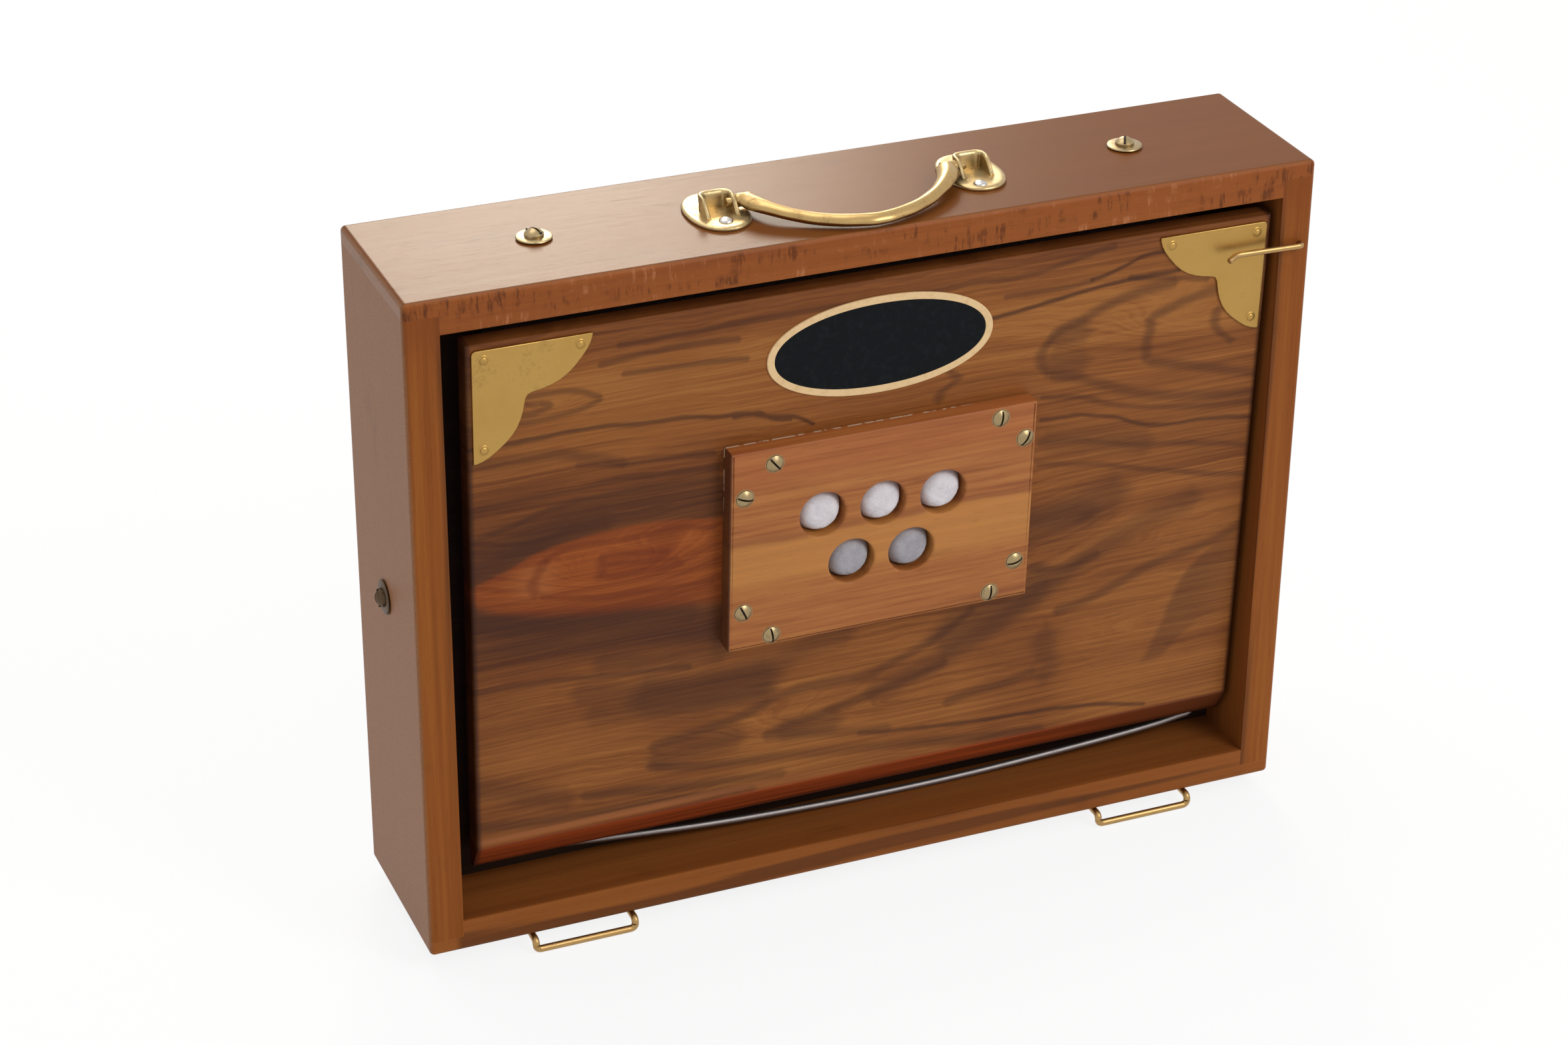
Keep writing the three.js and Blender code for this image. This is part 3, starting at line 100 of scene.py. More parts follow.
# Points of the panel's face: how far right of its middle and up from its hinge line they are.
BADGE_PLACE = (-0.6, 210.0)
VALVE_PLATE_MIDDLE = (0.0, 126.4)
VALVE_PLATE_HALF = (70.0, 47.75)
VALVE_PLATE_FACE = 8.1
VALVE_HOLE_RADIUS = 10.5
VALVE_HOLES = ((-27.7, 137.9), (0.0, 137.9), (27.7, 137.9), (-13.85, 112.5), (13.85, 112.5))
VALVE_SCREWS = (
    (-50.3, 166.9, 40), (-63.4, 152.7, 75), (52.9, 169.1, -8), (64.9, 157.4, -32),
    (-63.3, 97.3, 25), (-50.2, 83.7, 8), (63.3, 97.0, -75), (52.0, 83.4, -8),
)


# Mesh helpers

def quads(rows, cols, round_rows=False, round_cols=False, first=0):
    """Faces of a grid of points. A round direction joins its last line to its first."""
    i, j = np.meshgrid(
        np.arange(rows if round_rows else rows - 1),
        np.arange(cols if round_cols else cols - 1),
        indexing="ij",
    )
    down, across = (i + 1) % rows, (j + 1) % cols
    corners = [i * cols + j, i * cols + across, down * cols + across, down * cols + j]
    return (np.stack(corners, -1).reshape(-1, 4) + first).tolist()


def fan(ring, pole):
    """Triangles from a ring of points to one pole."""
    return np.stack([ring, np.roll(ring, -1), np.full(len(ring), pole)], -1).tolist()


def closed_by_poles(rings, poles):
    """A skin over rings of points, closed by a fan to a pole at each end."""
    rows, sides = rings.shape[:2]
    last = rows * sides
    faces = quads(rows, sides, round_cols=True)
    faces += fan(np.arange(sides), last)
    faces += fan(np.arange(sides) + last - sides, last + 1)
    return np.concatenate([rings.reshape(-1, 3), poles]), faces


def closed_flat(rings):
    """A skin over rings of points, closed by one flat face at each end."""
    rows, sides = rings.shape[:2]
    faces = quads(rows, sides, round_cols=True)
    faces += [list(range(sides)), list(range((rows - 1) * sides, rows * sides))]
    return rings.reshape(-1, 3), faces


def two_sheets(u, v, high, low):
    """The solid between two heights over one grid of places, with a wall round its rim."""
    rows, cols = u.shape
    sheets = [np.stack([u, v, np.broadcast_to(height, u.shape)], -1).reshape(-1, 3) for height in (high, low)]
    index = np.arange(u.size).reshape(rows, cols)
    rim = np.concatenate([index[0, :-1], index[:-1, -1], index[-1, :0:-1], index[:0:-1, 0]])
    wall = np.stack([rim, np.roll(rim, -1), np.roll(rim, -1) + u.size, rim + u.size], -1)
    return np.concatenate(sheets), quads(rows, cols) + quads(rows, cols, first=u.size) + wall.tolist()


def merged(*shapes):
    """Several shapes, each points and faces, as one."""
    points, faces, first = [], [], 0
    for shape_points, shape_faces in shapes:
        points.append(shape_points)
        faces += [[corner + first for corner in face] for face in shape_faces]
        first += len(shape_points)
    return np.concatenate(points), faces


def make_piece(name, shape, body, material, sharp=40.0, replaces=(), blend=None):
    """A shown piece from points in millimetres and faces, riding on a body, or left free with its place baked
    in when a blend is given.
    """
    points, faces = shape
    mesh = bpy.data.meshes.new(name)
    mesh.from_pydata((np.asarray(points) * MM).tolist(), [], faces)
    shell = bmesh.new()
    shell.from_mesh(mesh)
    bmesh.ops.remove_doubles(shell, verts=shell.verts, dist=1e-7)
    bmesh.ops.recalc_face_normals(shell, faces=shell.faces)
    shell.to_mesh(mesh)
    shell.free()
    mesh.shade_smooth()
    mesh.set_sharp_from_angle(angle=math.radians(sharp))
    mesh.materials.append(material)
    piece = bpy.data.objects.new(name, mesh)
    bpy.context.scene.collection.objects.link(piece)
    if blend:
        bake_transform(piece)
    else:
        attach(piece, body)
    if replaces:
        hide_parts(*replaces)
    return piece


def unit(vectors):
    return vectors / np.linalg.norm(vectors, axis=-1, keepdims=True)


def eased(value):
    """3 t^2 - 2 t^3 of a value held between 0 and 1."""
    t = np.clip(value, 0, 1)
    return t * t * (3 - 2 * t)


def power_of(value, power):
    """|value|^power with the value's own sign."""
    return np.sign(value) * np.abs(value) ** power


def evenly(line, count):
    """A line through points, cut into stretches of equal length."""
    length = np.concatenate([[0], np.cumsum(np.linalg.norm(np.diff(line, axis=0), axis=1))])
    even = np.linspace(0, length[-1], count)
    return np.stack([np.interp(even, length, line[:, k]) for k in range(3)], 1)


def bent(corners, bend, steps=8):
    """A path through corners, each turned along a quadratic curve that starts and ends bend from it:
    (1 - t)^2 start + 2 t (1 - t) corner + t^2 end."""
    corners = np.asarray(corners, float)
    t = np.linspace(0, 1, steps)[:, None]
    middle = corners[1:-1]
    start = middle + unit(corners[:-2] - middle) * bend
    end = middle + unit(corners[2:] - middle) * bend
    curves = [(1 - t) ** 2 * a + 2 * t * (1 - t) * b + t**2 * c for a, b, c in zip(start, middle, end)]
    return np.concatenate([corners[:1], *curves, corners[-1:]])


def smoothed(points, count):
    """A smooth curve through points, resampled evenly: each stretch is the cubic whose slope at either
    end is half the step between that point's neighbours."""
    points = np.asarray(points, float)
    ends = np.asarray([2 * points[0] - points[1], *points, 2 * points[-1] - points[-2]])
    t = np.linspace(0, 1, 12, endpoint=False)[:, None]
    parts = []
    for a, b, c, d in zip(ends, ends[1:], ends[2:], ends[3:]):
        parts.append(0.5 * (2 * b + (c - a) * t + (2 * a - 5 * b + 4 * c - d) * t**2
                            + (3 * b - a - 3 * c + d) * t**3))
    return evenly(np.concatenate([*parts, points[-1:]]), count)


def frames_along(path, first_side):
    """Tangent, side and up at each station of a path. Each side is the last one with its part along
    the new tangent taken off."""
    tangent = unit(np.gradient(path, axis=0))
    side = np.empty_like(path)
    last = np.asarray(first_side, float)
    for k, along in enumerate(tangent):
        last = last - along * (last @ along)
        last /= np.linalg.norm(last)
        side[k] = last
    return tangent, side, np.cross(tangent, side)


def tube(path, radius, sides=16, first_side=(1, 0, 0), round_end=True):
    """A round wire: rings of a radius about a path, closed by a half ball or a soft arris at each end."""
    path = np.asarray(path, float)
    tangent, side, up = frames_along(path, first_side)
    turn = np.linspace(0, math.pi / 2, 5)[1:-1]
    reach = radius if round_end else 0.25 * radius
    out = np.sin(turn)[:, None] * reach
    shrink = np.cos(turn) if round_end else 1 - 0.25 * (1 - np.cos(turn))
    centres = np.concatenate([(path[0] - tangent[0] * out)[::-1], path, path[-1] + tangent[-1] * out])
    scale = np.concatenate([shrink[::-1], np.ones(len(path)), shrink]) * radius
    side = np.concatenate([np.repeat(side[:1], len(out), 0), side, np.repeat(side[-1:], len(out), 0)])
    up = np.concatenate([np.repeat(up[:1], len(out), 0), up, np.repeat(up[-1:], len(out), 0)])
    angle = np.linspace(0, 2 * math.pi, sides, endpoint=False)
    ring = side[:, None] * np.cos(angle)[None, :, None] + up[:, None] * np.sin(angle)[None, :, None]
    poles = np.stack([path[0] - tangent[0] * reach, path[-1] + tangent[-1] * reach])
    return closed_by_poles(centres[:, None] + ring * scale[:, None, None], poles)


def turned(profile, sides=32):
    """A profile of (radius, height) steps turned about the z axis. It starts and ends on the axis."""
    profile = np.asarray(profile, float)
    angle = np.linspace(0, 2 * math.pi, sides, endpoint=False)
    radius, height = profile[1:-1, :1], profile[1:-1, 1:]
    rings = np.stack([radius * np.cos(angle), radius * np.sin(angle), np.repeat(height, sides, 1)], -1)
    return closed_by_poles(rings, [[0, 0, profile[0, 1]], [0, 0, profile[-1, 1]]])


def inward(loop):
    """Mitred unit normals of a closed outline, to the left of its direction of travel."""
    ahead = unit(np.roll(loop, -1, 0) - loop)
    square = np.stack([-ahead[:, 1], ahead[:, 0]], 1)
    both = unit(square + np.roll(square, 1, 0))
    return both / np.clip((both * square).sum(1), 0.5, 1)[:, None]


def plate(loops, profile):
    """A flat piece with shaped edges. Each outline is moved in by an inset and out to a height at each
    (inset, height) step of the profile, and the first and last steps are closed flat. The outer outline
    runs anticlockwise and the holes run clockwise."""
    points, faces, starts, first = [], [], [], 0
    for loop in loops:
        normals = inward(loop)
        for inset, height in profile:
            points.append(np.column_stack([loop + normals * inset, np.full(len(loop), height)]))
        faces += quads(len(profile), len(loop), round_cols=True, first=first)
        starts.append(first)
        first += len(loop) * len(profile)
    points = np.concatenate(points)
    for step in (0, len(profile) - 1):
        index = [np.arange(len(loop)) + start + step * len(loop) for loop, start in zip(loops, starts)]
        rings = [[Vector(point) for point in points[ring]] for ring in index]
        faces += np.concatenate(index)[np.array(tessellate_polygon(rings))].tolist()
    return points, faces


def round_edge(top, radius, bottom=0.0, steps=4):
    """Profile steps of a plate: a line in its flat top, a quarter round and the side down to its foot."""
    turn = np.linspace(0, math.pi / 2, steps + 1)
    front = np.column_stack([radius * (1 - np.sin(turn)), top - radius * (1 - np.cos(turn))])
    return np.concatenate([[[radius * 1.6 + 0.05, top]], front, [[0, bottom]]])


def oval(half_width, half_height, count=96, power=2.0, clockwise=False):
    """|x / a|^power + |y / b|^power = 1, as a closed outline."""
    angle = np.linspace(0, 2 * math.pi, count, endpoint=False)
    directions = np.stack([np.cos(angle), np.sin(angle)], 1)
    points = power_of(directions, 2 / power) * [half_width, half_height]
    return points[::-1] if clockwise else points


def rounded_rectangle(half_width, half_height, radius, steps=6, low_radius=None):
    """Four quarter circles joined by straight sides, anticlockwise from the upper right. The lower two may
    have a radius of their own."""
    turn = np.linspace(0, math.pi / 2, steps + 1)
    corners = []
    for k, (sx, sy) in enumerate(((1, 1), (-1, 1), (-1, -1), (1, -1))):
        r = radius if sy > 0 or low_radius is None else low_radius
        angle = turn + k * math.pi / 2
        centre = [sx * (half_width - r), sy * (half_height - r)]
        corners.append(np.column_stack([np.cos(angle), np.sin(angle)]) * r + centre)
    return np.concatenate(corners)


def placed(shape, origin, across, out):
    """A shape drawn in (across, up, out), put at an origin with those directions."""
    across, out = unit(np.asarray(across, float)), unit(np.asarray(out, float))
    basis = np.stack([across, np.cross(out, across), out])
    points, faces = shape
    return points @ basis + np.asarray(origin, float), faces


def on_panel(u, v, height=0.0):
    """A point of the panel's face: u right of its middle, v up from the hinge, out by a height."""
    y = -PANEL_THICKNESS - height
    return np.stack(np.broadcast_arrays(
        HINGE[0] + u,
        HINGE[1] + y * math.cos(PANEL_LEAN) - v * math.sin(PANEL_LEAN),
        HINGE[2] + y * math.sin(PANEL_LEAN) + v * math.cos(PANEL_LEAN),
    ), -1)


PANEL_OUT = (0, -math.cos(PANEL_LEAN), -math.sin(PANEL_LEAN))
PANEL_UP = (0, -math.sin(PANEL_LEAN), math.cos(PANEL_LEAN))


def panel_back(z, gap=0.0):
    """How deep in the case the panel's back lies at a height, plus a gap behind it."""
    return HINGE[1] + gap - (z - HINGE[2]) * math.tan(PANEL_LEAN)


def placed_on_panel(shape, u, v, height=0.0, spin=0.0):
    """A shape put on the panel's face, turned in its plane by spin degrees."""
    turn = math.radians(spin)
    across = math.cos(turn) * np.array([1.0, 0, 0]) + math.sin(turn) * np.array(PANEL_UP)
    return placed(shape, on_panel(u, v, height), across, PANEL_OUT)


def slotted_head(radius, rise, slot_width, slot_depth, rim=0.35, foot=0.4):
    """A domed screw head: height = rim + rise (1 - (r / radius)^2), less a slot across its middle, over
    rows that run along the slot, closed by a flat underside."""
    near = slot_width / 2
    outer = radius * np.sin(np.linspace(0, math.pi / 2, 9)[1:])
    outer = outer[outer > near * 1.15]
    rows = np.concatenate([-outer[::-1], [-near - 0.02, -near + 0.02, near - 0.02, near + 0.02], outer])
    share = np.sin(np.linspace(-math.pi / 2, math.pi / 2, 17))
    half = np.sqrt(np.maximum(radius**2 - rows**2, 0))
    v = half[:, None] * share[None]
    u = np.repeat(rows[:, None], len(share), 1)
    dome = rim + rise * (1 - (u**2 + v**2) / radius**2)
    floor = max(rim + rise - slot_depth, 0.1)
    top = np.where(np.abs(u) < near, np.minimum(dome, floor), dome)
    return two_sheets(u, v, top, -foot)


def slot_dirt_and_shade(radius, width, height):
    """A dark bar in a screw's slot, grime and painted shade: a flat box along the slot, cut short of the
    head's rim.
    """
    half = np.array([(width / 2, -radius * 0.93), (width / 2, radius * 0.93)])
    return plate([np.concatenate([half, -half])], [(0, height), (0, 0.05)])


def lifted(shape, rise):
    """A shape moved up by a rise."""
    points, faces = shape
    return points + [0, 0, rise], faces


# Node helpers

class Graph:
    """A node tree, with one short call for each kind of node that the finishes use."""

    def __init__(self, tree):
        self.tree = tree

    def feed(self, socket, value):
        if isinstance(value, bpy.types.NodeSocket):
            self.tree.links.new(value, socket)
        else:
            socket.default_value = value

    def node(self, kind, inputs=None, **settings):
        node = self.tree.nodes.new("ShaderNode" + kind)
        for key, value in settings.items():
            setattr(node, key, value)
        for key, value in (inputs or {}).items():
            self.feed(node.inputs[key], value)
        return node

    def math(self, operation, *values, clamp=False):
        node = self.node("Math", dict(enumerate(values)), operation=operation, use_clamp=clamp)
        return node.outputs[0]

    def product(self, first, *others):
        for value in others:
            first = self.math("MULTIPLY", first, value)
        return first

    def swing(self, value, strength, around):
        """around + strength (value - 0.5)."""
        return self.math("MULTIPLY_ADD", self.math("SUBTRACT", value, 0.5), strength, around)

    def mix(self, factor, a, b):
        return self.node("Mix", {0: factor, 6: a, 7: b}, data_type="RGBA").outputs[2]

    def tint(self, colour, mask, strength, wanted):
        """A colour moved towards a wanted one by a strength, where a mask is 1."""
        return self.mix(self.math("MULTIPLY", mask, strength), colour, (*wanted, 1))

    def noise(self, vector, scale=1.0, detail=3.0, roughness=0.5, distortion=0.0):
        inputs = {"Vector": vector, "Scale": scale, "Detail": detail, "Roughness": roughness,
                  "Distortion": distortion}
        return self.node("TexNoise", inputs).outputs[0]

    def line_noise(self, value, scale):
        inputs = {"W": value, "Scale": scale, "Detail": 2.0, "Roughness": 0.5}
        return self.node("TexNoise", inputs, noise_dimensions="1D").outputs[0]

    def level(self, value, low, high, to_low=0.0, to_high=1.0):
        inputs = {"Value": value, "From Min": low, "From Max": high, "To Min": to_low, "To Max": to_high}
        return self.node("MapRange", inputs, interpolation_type="SMOOTHSTEP").outputs[0]

    def band(self, value, rise, fall):
        """1 between two soft edges: a value rises over one pair of levels and falls over the other."""
        return self.product(self.level(value, *rise), self.level(value, *fall))

    def lengths(self, place, foot=0.0):
        """Object coordinates as x, y and z in millimetres, with z above a foot."""
        split = self.node("SeparateXYZ", {0: place}).outputs
        x, y = (self.math("MULTIPLY", value, 1 / MM) for value in split[:2])
        return x, y, self.math("MULTIPLY_ADD", split[2], 1 / MM, -foot)

    def scaled(self, vector, scale, location=(0, 0, 0), rotation=(0, 0, 0)):
        inputs = {"Vector": vector, "Location": location, "Rotation": rotation, "Scale": scale}
        return self.node("Mapping", inputs).outputs[0]

    def ramp(self, value, *stops):
        node = self.node("ValToRGB", {0: value})
        ramp = node.color_ramp
        while len(ramp.elements) < len(stops):
            ramp.elements.new(0.5)
        for element, (place, colour) in zip(ramp.elements, stops):
            element.position = place
            element.color = (*colour, 1)
        return node.outputs[0]

    def grouped(self, name, inputs):
        node = self.node("Group")
        node.node_tree = bpy.data.node_groups[name]
        for key, value in inputs.items():
            self.feed(node.inputs[key], value)
        return node.outputs


def node_group(name, inputs, outputs, build):
    """A shader node group with named sockets. build gets the graph and the group's inputs, and gives
    back the value of each named output."""
    tree = bpy.data.node_groups.new(name, "ShaderNodeTree")
    kinds = {"value": "NodeSocketFloat", "vector": "NodeSocketVector"}
    for label, kind, default in inputs:
        socket = tree.interface.new_socket(label, in_out="INPUT", socket_type=kinds[kind])
        if default is not None:
            socket.default_value = default
    for label in outputs:
        tree.interface.new_socket(label, in_out="OUTPUT", socket_type=kinds["value"])
    start = tree.nodes.new("NodeGroupInput")
    end = tree.nodes.new("NodeGroupOutput")
    graph = Graph(tree)
    for label, value in zip(outputs, build(graph, start.outputs)):
        graph.feed(end.inputs[label], value)


def grain_nodes(graph, given):
    """Grain along x: fine and wide streaks, short open pores and slow blotches."""
    vector = given["Vector"]
    fine = graph.noise(graph.scaled(vector, (9, 620, 620)), detail=4, roughness=0.6)
    wide = graph.noise(graph.scaled(vector, (3.5, 95, 95)), detail=3, distortion=0.4)
    pore = graph.noise(graph.scaled(vector, (95, 2300, 2300)), detail=2)
    pores = graph.level(pore, 0.60, 0.74)
    blotch = graph.noise(graph.scaled(vector, (14, 30, 30)), detail=3, roughness=0.6)
    height = graph.math("SUBTRACT", graph.math("MULTIPLY", fine, 0.5), pores)
    return fine, wide, pores, blotch, height


def patina_nodes(graph, given):
    """Cloudy tarnish with a finer speckle in it, and the light brush marks of a polished surface."""
    vector = given["Vector"]
    cloud = graph.noise(vector, scale=given["Scale"], detail=5, roughness=0.62)
    spots = graph.noise(vector, scale=graph.math("MULTIPLY", given["Scale"], 14.0), detail=3)
    mask = graph.swing(spots, 0.35, cloud)
    tarnish = graph.level(mask, graph.math("SUBTRACT", 0.78, given["Amount"]), 0.86)
    brush = graph.noise(graph.scaled(vector, (260, 1900, 1900)), detail=2)
    return tarnish, cloud, brush


# Each swell of the panel's figure: the height that it is centred on, its half height, how far it lifts
# the growth rings, and where along the panel it starts and is full, or its middle and half length.
FIGURE_RISES = (
    (70.0, 14.0, 30.0, -112.0, 20.0),
    (236.0, 15.0, 26.0, 60.0, 175.0),
    (150.0, 22.0, -20.0, 40.0, 150.0),
)
FIGURE_EYES = (
    (166.0, 13.0, 22.0, -112.0, 40.0),
    (248.0, 4.0, 6.0, -140.0, 12.0),
)

# Lines of the figure by kind. A kind has a half thickness, a soft edge and a strength, and each line
# is the points that it runs through: along the panel, and above the underside of the case.
FIGURE_LINES = (
    (0.4, 1.5, 0.72, (
        ((-186, 234.5), (-145, 235), (-123, 235.5), (-104, 233.5), (-84, 233), (-70, 230.5), (-56, 229.5),
         (-45, 226.5), (-33, 224), (-26, 219)),
        ((54, 254.5), (80, 257.5), (100, 260), (120, 262), (142, 262.5)),
        ((100, 264.5), (106, 265.5), (116, 268.5), (124, 272), (134, 273)),
        ((80, 201), (95, 201), (108, 198), (118, 195), (126, 191), (138, 188.5), (160, 187), (188, 183)),
        ((0, 59.5), (20, 57), (42, 54.5), (62, 53), (82, 51.5), (102, 50), (122, 47.5), (142, 43)),
        ((-62, 229), (-52, 229), (-44, 225.5), (-36, 224)),
    )),
    (0.5, 2.0, 0.46, (
        ((-186, 244.5), (-154, 243.5), (-138, 244), (-128, 245.5), (-120, 248.5)),
        ((-156, 254.5), (-138, 254.5), (-128, 253), (-120, 249.5)),
        ((-156, 246.5), (-148, 247), (-141, 249)),
        ((-156, 251.5), (-148, 251), (-141, 249.5)),
        ((60, 263.5), (84, 263), (100, 264.5)),
        ((118, 262.5), (134, 260), (156, 256)),
        ((80, 212), (97, 209), (117, 202), (128, 199), (147, 195.5), (188, 191)),
        ((80, 190), (104, 187), (124, 181), (150, 177), (188, 169)),
        ((-130, 219.5), (-112, 216.5), (-98, 216), (-70, 213.5)),
        ((-182, 190.5), (-160, 196), (-140, 201), (-112, 203), (-68, 202)),
        ((-182, 206), (-150, 208), (-110, 209), (-68, 207)),
        ((-110, 257.5), (-80, 257), (-56, 255.5)),
        ((-120, 264), (-90, 266), (-60, 265)),
        ((-112, 271), (-70, 272), (-20, 272), (60, 272), (110, 279)),
        ((80, 179), (104, 175), (130, 168), (160, 160), (188, 154)),
        ((-182, 120), (-150, 119), (-110, 115), (-80, 112)),
        ((-144, 177), (-138, 179.5), (-128, 181), (-108, 180.5), (-88, 181.5), (-70, 178)),
        ((-146, 160.5), (-138, 158), (-128, 156), (-118, 154.5), (-104, 154), (-90, 153), (-70, 152)),
        ((-120, 174), (-112, 173.5), (-100, 172.5), (-90, 170.5)),
        ((-116, 170), (-106, 169), (-98, 168), (-86, 166)),
        ((-120, 165), (-112, 163.5), (-96, 163.5), (-84, 164)),
    )),
    (1.0, 3.4, 0.46, (
        ((-182, 228), (-162, 226.5), (-142, 226.5), (-124, 222), (-110, 217)),
        ((83, 241), (88, 243.5), (98, 247), (110, 251.5), (124, 255), (140, 257)),
        ((82, 223.5), (78.5, 228), (78, 233), (80, 237), (83, 240.5)),
        ((84, 222.5), (97, 219), (107, 214), (134, 204), (160, 199), (188, 196)),
        ((129, 222), (128.5, 229), (130, 236), (129.5, 241)),
        ((131, 220.5), (145, 216.5), (160, 212.5), (188, 204)),
        ((131, 242.5), (145, 247), (162, 250.5)),
        ((162, 240), (161, 234), (164, 229), (170, 224)),
        ((31, 220), (33, 224), (39, 228.5), (36, 232)),
        ((-97, 74.5), (-90, 76), (-78, 77.5), (-60, 80.5), (-48, 84), (-38, 88), (-20, 89.5), (0, 89),
         (20, 95), (40, 104), (52, 112)),
        ((-98, 65), (-80, 60.5), (-60, 58.5), (-36, 56), (0, 52), (30, 48), (60, 44), (90, 41)),
        ((-44, 69.5), (-30, 72), (-14, 75), (4, 78.5), (22, 82.5), (40, 87.5)),
        ((-44, 68), (-24, 65.5), (-6, 62), (14, 59)),
        ((94, 103), (110, 106), (124, 111), (142, 118), (164, 122), (188, 131)),
        ((42, 66.5), (56, 69), (72, 71), (84, 73)),
        ((-182, 52), (-160, 50), (-140, 48), (-100, 46.5), (-50, 43)),
        ((-128, 57), (-110, 55), (-90, 52), (-60, 49), (-36, 47)),
        ((-121, 165), (-119, 168.5), (-120, 172.5)),
        ((-149, 162), (-150, 167), (-147, 172), (-145, 177)),
        ((80, 128), (96, 124), (112, 128)),
    )),
    (2.4, 7.5, 0.38, (
        ((-182, 73), (-166, 69), (-150, 62), (-136, 57.5)),
        ((-130, 109), (-100, 104), (-70, 102.5), (-44, 104), (-24, 111), (-8, 113)),
        ((-124, 97.5), (-90, 96.5), (-62, 94.5), (-44, 92)),
        ((-182, 139), (-150, 135), (-120, 131), (-94, 129), (-66, 124)),
        ((-120, 123), (-96, 119), (-66, 116)),
        ((-182, 175), (-170, 177.5), (-150, 184.5), (-135, 188.5), (-118, 190)),
        ((-180, 157), (-165, 151), (-150, 147.5), (-135, 144.5), (-120, 143), (-100, 141.5), (-80, 139)),
        ((-95, 68), (-78, 70), (-58, 71)),
        ((-36, 69), (-12, 69)),
        ((6, 80), (30, 87), (56, 98), (76, 109), (92, 118), (112, 130), (132, 139), (158, 148)),
        ((90, 70), (92, 76), (89, 83), (89, 92)),
        ((78, 152), (96, 153), (108, 150)),
        ((84, 190), (110, 186), (132, 181)),
        ((86, 238), (98, 241)),
        ((84, 228), (98, 227)),
    )),
    (6.0, 11.0, 0.46, (
        ((-186, 181), (-166, 184), (-150, 189), (-130, 193.5), (-104, 194), (-64, 191)),
        ((-186, 157), (-170, 152), (-152, 146.5), (-128, 143.5), (-104, 140.5), (-66, 134)),
        ((-100, 100), (-70, 97), (-46, 98)),
        ((78, 148), (100, 152), (118, 158)),
        ((40, 102), (66, 110), (84, 119)),
    )),
)

# The flame of red heartwood: its upper and lower outline.
FLAME_TOP = ((-182, 168), (-176, 171), (-163, 175.5), (-148, 181.5), (-128, 185), (-103, 186.5), (-68, 183.5))
FLAME_FOOT = ((-182, 166), (-172, 159), (-160, 154.5), (-148, 151), (-128, 147.5), (-103, 144.5),
              (-68, 140.5))

# The dark field at the lower right: its slanting left side, as a place at each height, and its foot.
FIELD_SIDE = ((62, 133), (66, 137), (75, 142), (85, 146.5), (95, 150), (105, 154), (115, 162), (126, 178))
FIELD_FOOT = ((132, 64), (148, 66), (156, 74), (164, 80), (172, 82.5), (188, 84))

# How far along the panel, and up from the underside of the case, a line of the figure may reach.
FIGURE_ALONG = (-190.0, 190.0)
FIGURE_UP = (0.0, 300.0)


def guide(graph, value, points, reach=FIGURE_ALONG):
    """A smooth line through points, as a height at each place along the panel, or as a place along it at
    each height where it runs more up than along. The curve node gives 0 to 1, which stands for twice the
    panel's reach from its left end."""
    low, high = reach
    start, span = FIGURE_ALONG[0], 2 * (FIGURE_ALONG[1] - FIGURE_ALONG[0])
    share = graph.math("MULTIPLY_ADD", value, 1 / (high - low), -low / (high - low))
    node = graph.node("FloatCurve", {"Factor": 1.0, "Value": share})
    curve = node.mapping.curves[0]
    places = sorted(((a - low) / (high - low), (b - start) / span) for a, b in points)
    while len(curve.points) < len(places):
        curve.points.new(0.5, 0.5)
    for point, place in zip(curve.points, places):
        point.location = place
        point.handle_type = "AUTO_CLAMPED"
    node.mapping.extend = "HORIZONTAL"
    node.mapping.update()
    return graph.math("MULTIPLY_ADD", node.outputs[0], span, start)


